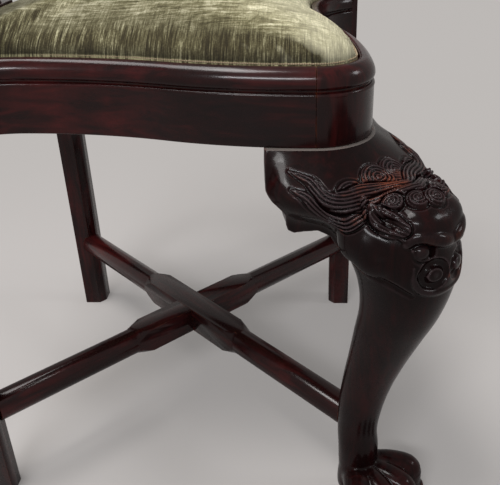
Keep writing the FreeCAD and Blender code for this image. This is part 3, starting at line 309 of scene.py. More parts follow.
def olive_velvet():
    """Crushed cotton velvet: dark pile with pale streaks where the nap lies over."""
    n = Nodes("olive_velvet")
    to_seat = (0, 0, 45)
    flat = n.ramp(n.height(n.normal()), [(0.9, 0.0), (0.972, 1.0)])
    # nap marks: ribs down the roll, folds across the top, broad clouds over both
    lines = n.noise(1.0, 5, 0.75, n.mapped((760, 34, 34), to_seat), 0.3)
    streak = n.noise(1.0, 5, 0.7, n.mapped((150, 9, 9), to_seat), 0.8)
    broad = n.noise(13, 5, 0.6, None, 0.8)
    across = n.noise(1.0, 6, 0.75, n.mapped((22, 230, 60), to_seat), 1.2)
    crush = n.noise(60, 6, 0.7, None, 1.6)
    fine = n.noise(700, 3, 0.7)
    ribs = n.ramp(n.mix(0.25, lines, streak), [(0.38, 0.32), (0.62, 0.68)])
    roll = n.mix(0.35, ribs, broad)
    folds = n.ramp(n.mix(0.4, across, crush), [(0.38, 0.22), (0.62, 0.78)])
    top = n.mix(0.35, n.mix(0.3, folds, ribs), broad)
    marks = n.mix(0.15, n.mix(flat, roll, top), fine)
    # painted light: the roll's sides take the darker of these two ramps and the level top the
    # lighter one
    low = n.ramp(marks, [(0.42, (0.02, 0.015, 0.006)), (0.48, (0.05, 0.041, 0.017)),
                         (0.54, (0.12, 0.108, 0.055)), (0.62, (0.45, 0.42, 0.26))])
    high = n.ramp(marks, [(0.41, (0.08, 0.068, 0.028)), (0.47, (0.2, 0.18, 0.087)),
                          (0.53, (0.43, 0.4, 0.24)), (0.6, (0.82, 0.77, 0.54))])
    # painted shade and sheen: slopes and places towards the left are darker, and those towards the
    # right turn pale with painted sheen
    lean = n.math("ADD", n.measure("DOT_PRODUCT", n.normal(), (0.5, -0.5, 0)), 0.5)
    place = n.math("ADD", n.measure("DOT_PRODUCT", n.place, (0.7, -0.7, 0)), 0.5)
    painted_side_shade = n.mix(1.0, n.ramp(lean, [(0.4, 0.4), (0.5, 0.78), (0.56, 1.0)]),
                 n.ramp(place, [(0.3, 0.35), (0.5, 1.0)]), "MULTIPLY")
    pile = n.mix(flat, low, n.mix(1.0, high, painted_side_shade, "MULTIPLY"))
    # painted sheen: pale pile on slopes and places towards the right
    painted_sheen = n.math("MULTIPLY", n.ramp(lean, [(0.5, 0.0), (0.64, 0.85)]),
                  n.ramp(place, [(0.52, 0.0), (0.64, 1.0)]))
    pile = n.mix(painted_sheen, pile, n.mix(0.35, high, (0.86, 0.82, 0.6)))
    # painted shade where the roll goes down behind the rim, with a painted highlight as a pale line
    # of pile at the very edge
    depth = n.rescale(n.height(n.place), (RIM - 0.5) / MM, (RIM + 11.5) / MM)
    pile = n.mix(1.0, pile, n.ramp(depth, [(0.3, 0.45), (1.0, 1.0)]), "MULTIPLY")
    # painted highlight: pale pile along the very edge
    pile = n.mix(n.ramp(depth, [(0.12, 0.6), (0.24, 0.0)]), pile,
                 n.ramp(ribs, [(0.42, (0.05, 0.042, 0.02)), (0.58, (0.5, 0.46, 0.26))]))
    n.set(Base_Color=pile, Roughness=0.85, Normal=n.bump(n.mix(0.5, fine, marks), 0.6, 0.001))
    n.set(Sheen_Weight=0.3, Sheen_Roughness=0.35, Specular_IOR_Level=0.2)
    n.shader.inputs["Sheen Tint"].default_value = (0.78, 0.73, 0.5, 1)
    return n.material


MAHOGANY = dark_mahogany("mahogany_rail", (0, 0, 45), worn_edges=1.2)
MAHOGANY_OTHER = dark_mahogany("mahogany_rail_other", (0, 0, -45), worn_edges=1.2)
MAHOGANY_UPRIGHT = dark_mahogany("mahogany_upright", (0, 90, 0))
MAHOGANY_CARVED = dark_mahogany("mahogany_carved", (0, 90, 0), carved=True)
MAHOGANY_CROSS = dark_mahogany("mahogany_cross", (0, 0, 0))
MAHOGANY_LONG = dark_mahogany("mahogany_long", (0, 0, 90))
RAW_WOOD = raw_wood("secondary_wood")
WEBBING = woven("webbing", (0.16, 0.11, 0.06), (0.42, 0.33, 0.2), 90)
HESSIAN = woven("hessian", (0.2, 0.14, 0.08), (0.5, 0.4, 0.26), 160)
IRON = dark_iron()
VELVET = olive_velvet()


# Plain pieces of wood: the solids with their edges softened
WELD = 0.00001
FLAT_ANGLE = 0.6
EDGE_ROUNDING = 0.0009
ROUNDED_ANGLE = 32


def sharp_by_angle(obj, angle):
    """Show the edges that turn by more than an angle in degrees as sharp."""
    obj.data.set_sharp_from_angle(angle=math.radians(angle))


def soften(node, material, body="chair_frame", slot="mahogany"):
    """A copy of a solid with clean faces and slightly rounded edges, standing for it."""
    mesh = bmesh.new()
    mesh.from_mesh(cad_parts[node].data)
    bmesh.ops.remove_doubles(mesh, verts=mesh.verts, dist=WELD)
    bmesh.ops.dissolve_limit(mesh, angle_limit=math.radians(FLAT_ANGLE), verts=mesh.verts,
                             edges=mesh.edges)
    obj = bpy.data.objects.new(node + "_wood", bpy.data.meshes.new(node + "_wood"))
    mesh.to_mesh(obj.data)
    mesh.free()
    obj.data.materials.clear()
    obj.data.materials.append(material)
    bpy.context.scene.collection.objects.link(obj)
    bevel = obj.modifiers.new("bevel", "BEVEL")
    bevel.width = EDGE_ROUNDING
    bevel.segments = 2
    bevel.limit_method = "ANGLE"
    bevel.angle_limit = math.radians(ROUNDED_ANGLE)
    bevel.harden_normals = True
    apply_modifiers(obj)
    obj.data.shade_smooth()
    sharp_by_angle(obj, 40)
    stand_for(obj, body, slot, node)


for node, material in (("left_leg", MAHOGANY_UPRIGHT), ("right_leg", MAHOGANY_UPRIGHT),
                       ("back_leg", MAHOGANY_UPRIGHT), ("stretcher_left_right", MAHOGANY_CROSS),
                       ("stretcher_front_back", MAHOGANY_LONG), ("splat_left", MAHOGANY_UPRIGHT),
                       ("splat_right", MAHOGANY_UPRIGHT), ("splat_shoe_left", MAHOGANY),
                       ("splat_shoe_right", MAHOGANY_OTHER), ("arm_left", MAHOGANY_LONG),
                       ("arm_right", MAHOGANY_LONG), ("crest", MAHOGANY_CROSS),
                       ("seat_rail_back_left", MAHOGANY_OTHER), ("seat_rail_back_right", MAHOGANY)):
    soften(node, material)
for place in ("front", "left", "right", "back"):
    soften("corner_block_" + place, RAW_WOOD, slot="secondary_wood")
for place in ("front_left", "front_right", "back_right", "back_left"):
    soften("slip_frame_" + place, RAW_WOOD, "seat", "secondary_wood")
for node, material in (("webbing", WEBBING), ("hessian", HESSIAN), ("tacks", IRON),
                       ("crest_screws", IRON)):
    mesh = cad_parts[node].data
    mesh.materials.clear()
    mesh.materials.append(material)


# Front rails and the corner post, with their moulding
JOINT = 0.5                     # open joint between a front rail and the corner post


def rail_curve():
    """Plan line of the front left rail's face from the corner to the leg, with its outward
    direction."""
    line = []
    for turn in np.linspace(0, SWING, 40):
        s, c = math.sin(turn), math.cos(turn)
        line.append((CORNER - SWING_RADIUS * s, SWING_RADIUS - REACH - SWING_RADIUS * c, -s, -c))
    for turn in np.linspace(SWING, 0, 40)[1:]:
        s, c = math.sin(turn), math.cos(turn)
        line.append((-WAIST_PLACE + SWING_RADIUS * s, -WAIST - SWING_RADIUS + SWING_RADIUS * c,
                     -s, -c))
    for turn in np.linspace(0, math.asin((LEG_FACE - WAIST_PLACE) / FLARE), 26)[1:]:
        s, c = math.sin(turn), math.cos(turn)
        line.append((-WAIST_PLACE - FLARE * s, -WAIST - FLARE + FLARE * c, s, -c))
    return line


def corner_curve():
    """Plan line of the rounded front corner, with its outward direction."""
    line = []
    for turn in np.linspace(0, math.pi / 2, 30):
        s, c = math.sin(turn), math.cos(turn)
        line.append((CORNER + CORNER_RADIUS * s, -CORNER - CORNER_RADIUS * c, s, -c))
    return line


def arc(middle, radius, first, last, count):
    """Points on an arc between two angles in degrees."""
    return [(middle[0] + radius * math.cos(math.radians(a)),
             middle[1] + radius * math.sin(math.radians(a)))
            for a in np.linspace(first, last, count)]


def rail_section():
    """Section of a front rail, as inset from the face and height."""
    low, high = 1.2, 0.8        # rounding of the lower edge and of the rim
    points = [(RAIL_THICKNESS, RAIL_LOW), (low, RAIL_LOW)]
    points += arc((low, RAIL_LOW + low), low, -90, -180, 4)
    # bead, recess, and the thumb moulding in two arcs
    points += [(0, 442.6)] + arc((1.9, 444.3), 2.4, 196, 75, 8)
    points += [(3.1, 447.2), (3.1, 448.4)] + arc((4.0, 452.8), 4.6, 238, 180, 8)
    points += arc((14.4, 452.8), 15.0, 180, 118.2, 14)[1:]
    points += [(RIM_WIDTH - high, RIM)] + arc((RIM_WIDTH - high, RIM - high), high, 90, 0, 4)[1:]
    points += [(RIM_WIDTH, LEDGE), (RAIL_THICKNESS, LEDGE)]
    return points


def sweep(name, line, section, material):
    """Closed section swept along a plan line."""
    points, faces = [], []
    for u, v, out_u, out_v in line:
        points += [seat_point(u - inset * out_u, v - inset * out_v, z) for inset, z in section]
    count = len(section)
    for row in range(0, (len(line) - 1) * count, count):
        for i in range(count):
            j = (i + 1) % count
            faces.append((row + i, row + count + i, row + count + j, row + j))
    faces.append(tuple(range(count)))
    faces.append(tuple(range(len(points) - 1, len(points) - 1 - count, -1)))
    obj = new_object(name, points, faces, material)
    mesh = bmesh.new()
    mesh.from_mesh(obj.data)
    bmesh.ops.recalc_face_normals(mesh, faces=mesh.faces)
    mesh.to_mesh(obj.data)
    mesh.free()
    sharp_by_angle(obj, 35)
    return obj


def flip_to_right(line):
    """The plan line on the other side of the mirror plane."""
    return [(-v, -u, -out_v, -out_u) for u, v, out_u, out_v in line]


FRONT_SECTION = rail_section()
left_line = rail_curve()
left_line[0] = (left_line[0][0] - JOINT, *left_line[0][1:])
stand_for(sweep("rail_front_left_moulded", left_line, FRONT_SECTION, MAHOGANY),
          "chair_frame", "mahogany", "seat_rail_front_left")
right_line = flip_to_right(left_line)
stand_for(sweep("rail_front_right_moulded", right_line, FRONT_SECTION, MAHOGANY_OTHER),
          "chair_frame", "mahogany", "seat_rail_front_right")
stand_for(sweep("corner_post_moulded", corner_curve(), FRONT_SECTION, MAHOGANY_UPRIGHT),
          "chair_frame", "mahogany")


# Drop-in seat
SEAT_GAP = 0.3                  # velvet inside the rim
POST_CUT = 357.5                # the seat's corners at the posts, from its middle, times root 2
# Sections of the cushion: height above the rim and share of the plan size
CUSHION = ((-19, 1.0), (-8, 1.0), (3.5, 1.0), (6, 0.988), (8.5, 0.968), (11, 0.945), (14, 0.912),
           (17.5, 0.865), (21.5, 0.795), (25.5, 0.705), (30, 0.59), (34.5, 0.45), (38, 0.3),
           (40.2, 0.15), (41, 0.05))
VOXEL = 0.0055
HELD_BELOW = 6                  # cloth this far under the rim doesn't move
CLOTH_STEPS = 20
PRESSURE = 4
SWELL = 0.006                   # furthest that the cloth may move, in metres
CROWN = 41.5                    # highest that it may stand above the rim


def seat_outline():
    """Plan points of the drop-in seat, its corners cut at the three posts."""
    inset = RIM_WIDTH + SEAT_GAP
    cut = POST_CUT - SEAT_GAP * math.sqrt(2)
    back = BACK_REACH - BACK_RIM - SEAT_GAP
    near = [(u - inset * a, v - inset * b) for u, v, a, b in rail_curve()]
    near = [p for p in near if -p[0] - p[1] < cut]
    last = near[-1]
    # a short flat, the cut corner and the straight back side with a point in its middle
    near += [(last[0] - 0.3, last[1]), (-back, back - cut), (-back, 0.0), (-back, cut - back)]
    front = [(u - inset * a, v - inset * b) for u, v, a, b in reversed(corner_curve())]
    far = [(-v, -u) for u, v in reversed(near)]
    return front[:-1] + near + far[:-1]


def make_cushion():
    """The cushion's closed form, with an even mesh for the cloth."""
    base = seat_outline()
    count = len(base)
    points, faces = [], []
    for rise, scale in CUSHION:
        points += [seat_point(u * scale, v * scale, RIM + rise) for u, v in base]
    top, bottom = len(points), len(points) + 1
    points += [seat_point(0, 0, RIM + CUSHION[-1][0]), seat_point(0, 0, RIM + CUSHION[0][0])]
    upper = (len(CUSHION) - 1) * count
    for row in range(0, upper, count):
        for i in range(count):
            j = (i + 1) % count
            faces.append((row + i, row + j, row + count + j, row + count + i))
    for i in range(count):
        j = (i + 1) % count
        faces.append((upper + i, upper + j, top))
        faces.append((j, i, bottom))
    obj = new_object("velvet_cushion", points, faces, VELVET)
    remesh = obj.modifiers.new("remesh", "REMESH")
    remesh.mode = "VOXEL"
    remesh.voxel_size = VOXEL
    smooth = obj.modifiers.new("smooth", "SMOOTH")
    smooth.factor = 0.5
    smooth.iterations = 6
    apply_modifiers(obj)
    return obj


def inflate(obj):
    """Let the cloth swell a little, then keep each point within reach of where it began."""
    rest = np.array([v.co for v in obj.data.vertices])
    group = obj.vertex_groups.new(name="held")
    held = [i for i, p in enumerate(rest) if p[2] < (RIM - HELD_BELOW) / MM]
    group.add(held, 1.0, "REPLACE")
    cloth = obj.modifiers.new("cloth", "CLOTH")
    cloth.settings.use_pressure = True
    cloth.settings.uniform_pressure_force = PRESSURE
    cloth.settings.vertex_group_mass = "held"
    cloth.settings.effector_weights.gravity = 0
    cloth.point_cache.frame_start, cloth.point_cache.frame_end = 1, CLOTH_STEPS
    for step in range(1, CLOTH_STEPS + 1):
        bpy.context.scene.frame_set(step)
    apply_modifiers(obj)
    move = np.array([v.co for v in obj.data.vertices]) - rest
    far = np.linalg.norm(move, axis=1, keepdims=True)
    now = rest + move * np.minimum(1, SWELL / np.maximum(far, 1e-9))
    now[:, 2] = np.minimum(now[:, 2], (RIM + CROWN) / MM)
    obj.data.vertices.foreach_set("co", now.astype(np.float32).ravel())
    bpy.context.scene.frame_set(1)


cushion = make_cushion()
inflate(cushion)
smoother = cushion.modifiers.new("subdivision", "SUBSURF")
smoother.levels = smoother.render_levels = 1
apply_modifiers(cushion)
cushion.data.shade_smooth()
cushion.data.materials.clear()
cushion.data.materials.append(VELVET)
stand_for(cushion, "seat", "velvet", "seat_cover", "stuffing")


# Carving
DITCH = 1.8                     # width of the sunk border round locks and curls
SUNK = 0.9                      # its depth
TUBE_POINTS = 18
LOCK_POINTS = 40
CELL_CORNERS = [(i, j, k) for i in (0, 1) for j in (0, 1) for k in (0, 1)]


def between(distance, other, blend):
    """Smooth union of two distance fields."""
    share = np.clip(0.5 + 0.5 * (other - distance) / blend, 0, 1)
    return other + (distance - other) * share - blend * share * (1 - share)


def within(distance, other, blend):
    """Smooth intersection of two distance fields."""
    return -between(-distance, -other, blend)


def smooth_curve(at, stations, values):
    """Smooth line through stations, with level tangents averaged from the neighbours."""
    stations, values = np.asarray(stations, float), np.asarray(values, float)
    slopes = np.gradient(values, stations)
    spot = np.clip(np.searchsorted(stations, at) - 1, 0, len(stations) - 2)
    gap = stations[spot + 1] - stations[spot]
    t = np.clip((at - stations[spot]) / gap, 0, 1)
    return ((1 + 2 * t) * (1 - t) ** 2 * values[spot] + t * (1 - t) ** 2 * gap * slopes[spot]
            + t * t * (3 - 2 * t) * values[spot + 1] + t * t * (t - 1) * gap * slopes[spot + 1])


class Carving:
    """A block of wood as a distance field that shapes are added to and cut from. Its axes are side,
    the distance from the mirror plane, ahead, in front of the corner post's axis, and height, in
    millimetres. One half is carved and then mirrored."""

    def __init__(self, low, high, step):
        self.step = step
        self.axes = [np.arange(a, b + step, step, dtype=np.float32) for a, b in zip(low, high)]
        self.value = np.full([len(axis) for axis in self.axes], 60.0, np.float32)
        self.relief = np.zeros_like(self.value)

    def window(self, low, high):
        """Slices of the grid between two corners, and the coordinates there."""
        spans = [np.searchsorted(axis, (a, b)) for axis, a, b in zip(self.axes, low, high)]
        cuts = tuple(slice(*span) for span in spans)
        parts = [axis[part] for axis, part in zip(self.axes, cuts)]
        return cuts, np.meshgrid(*parts, indexing="ij", sparse=True)

    def whole(self):
        """The same for the whole grid."""
        return self.window([axis[0] - 1 for axis in self.axes],
                           [axis[-1] + 1 for axis in self.axes])

    def add(self, shape, low, high, blend):
        """Add a shape that lies between two corners."""
        cuts, grid = self.window(low, high)
        if min(self.value[cuts].shape):
            self.value[cuts] = between(shape(*grid), self.value[cuts], blend)

    def cut(self, shape, low, high, blend):
        """Take a shape away."""
        cuts, grid = self.window(low, high)
        if min(self.value[cuts].shape):
            self.value[cuts] = within(self.value[cuts], -shape(*grid), blend)

    def sample(self, points):
        """Field value at points, between the grid's values."""
        spots = [np.clip((points[:, i] - axis[0]) / self.step, 0, len(axis) - 1.001)
                 for i, axis in enumerate(self.axes)]
        base = [spot.astype(int) for spot in spots]
        share = [spot - whole for spot, whole in zip(spots, base)]
        total = 0
        for corner in CELL_CORNERS:
            x, y, z = [s if up else 1 - s for s, up in zip(share, corner)]
            total = total + x * y * z * self.value[tuple(b + up for b, up in zip(base, corner))]
        return total

    def slope(self, points, reach=2.0):
        """Direction out of the wood at points."""
        rows = []
        for i in range(3):
            shift = np.zeros(3)
            shift[i] = reach
            rows.append(self.sample(points + shift) - self.sample(points - shift))
        normal = np.stack(rows, 1)
        return normal / np.maximum(np.linalg.norm(normal, axis=1, keepdims=True), 1e-6)

    def settle(self, points, depth=0.0):
        """Move points on to the surface."""
        points = np.array(points, float)
        for _ in range(12):
            points = points - self.slope(points) * (self.sample(points) + depth)[:, None] * 0.8
        return points


def egg(middle, radii, turn=0.0):
    """Ellipsoid; turn swings it about Z, in degrees."""
    radii = np.array(radii, float)
    c, s = math.cos(math.radians(turn)), math.sin(math.radians(turn))

    def distance(side, ahead, z):
        x, y, w = side - middle[0], ahead - middle[1], z - middle[2]
        x, y = c * x + s * y, -s * x + c * y
        near = np.sqrt(sum((p / r) ** 2 for p, r in zip((x, y, w), radii)))
        steep = np.sqrt(sum((p / r ** 2) ** 2 for p, r in zip((x, y, w), radii)))
        return near * (near - 1) / np.maximum(steep, 1e-6)
    return distance


def put_egg(wood, middle, radii, turn=0.0, blend=6.0, hollow=False):
    """Add an egg to the wood, or hollow it out."""
    reach = max(radii) + blend + 3
    low, high = np.array(middle) - reach, np.array(middle) + reach
    (wood.cut if hollow else wood.add)(egg(middle, radii, turn), low, high, blend)


def rounded(points, count):
    """More points along a smooth curve through the given ones."""
    points = np.array(points, float)
    steps = np.concatenate([[0], np.cumsum(np.linalg.norm(np.diff(points[:, :3], axis=0), axis=1))])
    at = np.linspace(0, steps[-1], count)
    return np.stack([smooth_curve(at, steps, points[:, i]) for i in range(points.shape[1])], 1)


def nearest_on(line, side, ahead, z):
    """For each grid point the nearest place on a polyline: distance, place, offset."""
    best = None
    length = 0.0
    for start, end in zip(line[:-1], line[1:]):
        way = end[:3] - start[:3]
        run = np.linalg.norm(way)
        dx, dy, dz = side - start[0], ahead - start[1], z - start[2]
        t = np.clip((dx * way[0] + dy * way[1] + dz * way[2]) / run ** 2, 0, 1)
        ox, oy, oz = dx - t * way[0], dy - t * way[1], dz - t * way[2]
        square = ox * ox + oy * oy + oz * oz
        if best is None:
            best, place, off = square, length + t * run, [ox, oy, oz]
        else:
            closer = square < best
            best = np.where(closer, square, best)
            place = np.where(closer, length + t * run, place)
            off = [np.where(closer, new, old) for new, old in zip((ox, oy, oz), off)]
        length += run
    return np.sqrt(best), place / length, off


def put_tube(wood, points, radii, blend=3.0, hollow=False, settle=None):
    """A round moulding along a curve, its radius changing on the way."""
    line = rounded(points, TUBE_POINTS)
    if settle is not None:
        line = wood.settle(line, settle)

    def distance(side, ahead, z):
        near, place, _ = nearest_on(line, side, ahead, z)
        return near - np.interp(place, np.linspace(0, 1, len(radii)), radii)
    reach = max(radii) + blend + 3
    (wood.cut if hollow else wood.add)(distance, line.min(0) - reach, line.max(0) + reach, blend)


def lay(wood, shape, low, high):
    """Low relief on the surface: inside its outline it takes the place of what lay there before."""
    cuts, grid = wood.window(low, high)
    inside, height = shape(*grid)
    wood.relief[cuts] += (height - wood.relief[cuts]) * inside


def step_up(value, width=1.3):
    """Smooth step from 0 to 1 over a width round zero."""
    share = np.clip(value / width + 0.5, 0, 1)
    return share * share * (3 - 2 * share)


def bordered(inward, rise, reach, top):
    """Where a shape holds, as a share, and its height: relief with a sunk border round it."""
    inside = step_up(inward + DITCH) * step_up(reach - np.abs(rise), 4)
    return inside, step_up(inward) * (top + SUNK) - SUNK


def put_lock(wood, points, widths, height=2.5, pitch=3.2, groove=1.0):
    """A lock of hair lying on the wood: a raised band along a curve with incised strands."""
    line = wood.settle(rounded(points, LOCK_POINTS))
    out = wood.slope(line, 4.0)
    along = np.gradient(line, axis=0)
    cross = np.cross(along / np.linalg.norm(along, axis=1, keepdims=True), out)
    spots = np.linspace(0, 1, LOCK_POINTS)
    widths = smooth_curve(spots, np.linspace(0, 1, len(widths)), widths)

    def shape(side, ahead, z):
        near, place, offset = nearest_on(line, side, ahead, z)
        rise = sum(o * np.interp(place, spots, out[:, i]) for i, o in enumerate(offset))
        across = sum(o * np.interp(place, spots, cross[:, i]) for i, o in enumerate(offset))
        half = np.interp(place, spots, widths) / 2
        beyond = np.sqrt(np.maximum(near ** 2 - rise ** 2 - across ** 2, 0))
        flat = np.hypot(across, beyond)
        share = np.clip(flat / half, 0, 1)
        cuts = (0.5 + 0.5 * np.cos(2 * np.pi * across / pitch)) ** 3
        crown = height * (0.6 + 0.4 * np.sqrt(1 - share ** 2)) * np.clip(half / 5, 0.1, 1)
        top = crown - groove * cuts * np.clip(half / 3, 0, 1)
        return bordered(half - flat, rise, 12, top)
    reach = max(widths) / 2 + 12
    lay(wood, shape, line.min(0) - reach, line.max(0) + reach)


def put_curl(wood, middle, radius, height=3.0, pitch=3.0, groove=1.0, spiral=0, start=0.0,
             dome=0.5):
    """A round curl of hair: rings round its middle, or a spiral."""
    centre = wood.settle([middle])[0]
    normal = wood.slope(centre[None], 5.0)[0]
    first = np.cross(normal, (0, 0, 1.0))
    first /= np.linalg.norm(first)
    second = np.cross(normal, first)

    def shape(side, ahead, z):
        d = [side - centre[0], ahead - centre[1], z - centre[2]]
        rise, p1, p2 = [sum(p * q for p, q in zip(d, axis)) for axis in (normal, first, second)]
        flat = np.hypot(p1, p2)
        phase = flat / pitch - spiral * (np.arctan2(p2, p1) / (2 * np.pi)) + start
        share = np.clip(flat / radius, 0, 1)
        cuts = (0.5 + 0.5 * np.cos(2 * np.pi * phase)) ** 2
        crown = height * (1 - dome + dome * np.sqrt(1 - share ** 2))
        top = crown - groove * cuts * np.clip(flat / pitch, 0, 1)
        return bordered(radius - flat, rise, 14, top)
    reach = radius + 12
    lay(wood, shape, centre - reach, centre + reach)


def surface_net(value, low, step):
    """Quad mesh on the zero level of a grid of distances."""
    inside = value < 0
    count = np.zeros([n - 1 for n in value.shape], np.uint8)
    for i, j, k in CELL_CORNERS:
        count += inside[i:i + count.shape[0], j:j + count.shape[1], k:k + count.shape[2]]
    active = (count > 0) & (count < 8)
    cells = np.argwhere(active)
    ids = np.full(count.shape, -1, np.int32)
    ids[active] = np.arange(len(cells))
    at = np.stack([value[tuple((cells + corner).T)] for corner in CELL_CORNERS], 1)
    spots = np.zeros((len(cells), 3))
    hits = np.zeros(len(cells))
    for a in range(8):
        for b in range(a + 1, 8):
            way = np.array(CELL_CORNERS[b]) - CELL_CORNERS[a]
            if np.abs(way).sum() != 1:
                continue
            crossed = (at[:, a] < 0) != (at[:, b] < 0)
            share = at[crossed, a] / (at[crossed, a] - at[crossed, b])
            spots[crossed] += CELL_CORNERS[a] + share[:, None] * way
            hits += crossed
    points = np.array(low) + (cells + spots / hits[:, None]) * step
    faces = []
    for axis in range(3):
        one, two = [i for i in range(3) if i != axis]
        size = list(value.shape)
        size[axis] -= 1
        first = inside[tuple(slice(0, size[i]) for i in range(3))]
        shift = [slice(0, size[i]) for i in range(3)]
        shift[axis] = slice(1, size[axis] + 1)
        edge = np.argwhere(first != inside[tuple(shift)])
        edge = edge[(edge[:, one] > 0) & (edge[:, two] > 0) & (edge[:, one] < value.shape[one] - 1)
                    & (edge[:, two] < value.shape[two] - 1)]
        quad = []
        for p, q in ((0, 0), (1, 0), (1, 1), (0, 1)):
            cell = edge.copy()
            cell[:, one] -= p
            cell[:, two] -= q
            quad.append(ids[cell[:, 0], cell[:, 1], cell[:, 2]])
        quad = np.stack(quad, 1)
        outward = inside[edge[:, 0], edge[:, 1], edge[:, 2]]
        if axis == 1:
            outward = ~outward
        quad[~outward] = quad[~outward][:, ::-1]
        faces.append(quad)
    return points, np.concatenate(faces)


# Cabriole leg: height, its middle's place ahead of the axis, radius
SHAFT = ((30, 9, 20), (50, 7.5, 20.4), (71, 7, 20.8), (92, 5, 20.5), (126, 7.8, 22.3),
         (162, 15.5, 24.6), (197, 26, 27.7), (230, 36.8, 31.7), (261, 46.9, 35.7), (280, 50, 38.8),
         (300, 50, 43), (318, 46, 48), (335, 38, 52), (350, 28, 54.5), (365, 12, 55), (378, -4, 54),
         (390, -22, 52), (398, -40, 50), (404, -56, 48))
SHAFT_LOW = 20
SHAFT_HIGH = 404
# Bracket and knee seen square to the rail's face: place along the rail, height
KNEE_OUTLINE = ((108.5, 420), (108.5, 371), (112, 361), (120.7, 349), (123, 338), (127, 331),
                (134, 328.5), (143, 330), (154, 331), (164, 326), (171, 313), (171, 296),
                (160, 280), (160, -50), (400, -50), (400, 420))
KNEE_LOW = 300                  # nothing of the knee's bracket lies lower
BRACKET_LOW = 318
BRACKET_BACK = 176              # its inner side, from the seat's middle
BRACKET_STEP = 3.4              # how far its upper edge stands in front of the rail's face
BRACKET_SWELL = 13.5            # and how much further it swells below


def seat_side(side, ahead):
    """Seat coordinates of the near half: across u, and depth v."""
    return (FORE + ahead - side) / math.sqrt(2), (-side - FORE - ahead) / math.sqrt(2)


def polygon_distance(corners, x, y):
    """Signed distance to a closed outline, negative inside."""
    best = np.full(np.broadcast(x, y).shape, 1e9)
    odd = np.zeros(best.shape, bool)
    for (ax, ay), (bx, by) in zip(corners, corners[1:] + corners[:1]):
        ex, ey = bx - ax, by - ay
        t = np.clip(((x - ax) * ex + (y - ay) * ey) / (ex * ex + ey * ey), 0, 1)
        best = np.minimum(best, (x - ax - t * ex) ** 2 + (y - ay - t * ey) ** 2)
        if ey:
            odd ^= ((ay > y) != (by > y)) & (x < ex * (y - ay) / ey + ax)
    return np.where(odd, -1, 1) * np.sqrt(best)


def outline_edge(u, v, z):
    """Distance outside the knee's outline. Its edge is bevelled towards the front, most where the
    bracket's curl meets the knee."""
    slant = 2 + 8 * np.exp(-((z - 350) / 14) ** 2 - ((u - 118) / 12) ** 2)
    bevel = np.clip((-v - 192) / 24, 0, 1) ** 1.3 * slant
    return polygon_distance(KNEE_OUTLINE, u, z) + bevel


def bracket_field(side, ahead, z):
    """The knee bracket under the rail, its face swelling downwards."""
    u, v = seat_side(side, ahead)
    proud = REACH + BRACKET_STEP + BRACKET_SWELL * np.clip((402 - z) / 48, 0, 1) ** 0.8
    ends = np.maximum(v + BRACKET_BACK, BRACKET_LOW - z)
    return np.maximum(np.maximum(outline_edge(u, v, z), -v - proud), ends)


def basic_leg(wood):
    """The leg's shaft with its knee and bracket, before any carving."""
    cuts, (side, ahead, z) = wood.whole()
    heights, places, radii = zip(*SHAFT)
    middle = smooth_curve(z, heights, places)
    radius = smooth_curve(z, heights, radii)
    shaft = (np.sqrt(side ** 2 + (ahead - middle) ** 2) - radius) * 0.85
    wood.value[cuts] = np.maximum(np.maximum(shaft, SHAFT_LOW - z), z - SHAFT_HIGH)
    wood.add(bracket_field, (-1, -125, KNEE_LOW), (90, 40, 410), 12)
    wood.add(egg((38, -22, 371), (44, 40, 27), -45), (-1, -90, 330), (95, 60, 410), 16)
    cuts, (side, ahead, z) = wood.window((-1, -126, KNEE_LOW), (96, 126, 426))
    u, v = seat_side(side, ahead)
    wood.value[cuts] = within(wood.value[cuts], outline_edge(u, v, z), 1.5)
    # shoulder that follows the rounded corner post, then the flat end under the post's rail part
    around = np.hypot(np.maximum(u - CORNER, 0), np.maximum(-v - CORNER, 0)) - CORNER_RADIUS
    shoulder = (around - 1.8 - 1.5 * (RAIL_LOW - z)) * 0.55
    wood.value[cuts] = within(wood.value[cuts], shoulder, 4)
    cuts, (side, ahead, z) = wood.whole()
    wood.value[cuts] = within(wood.value[cuts], z - RAIL_LOW, 0.8)


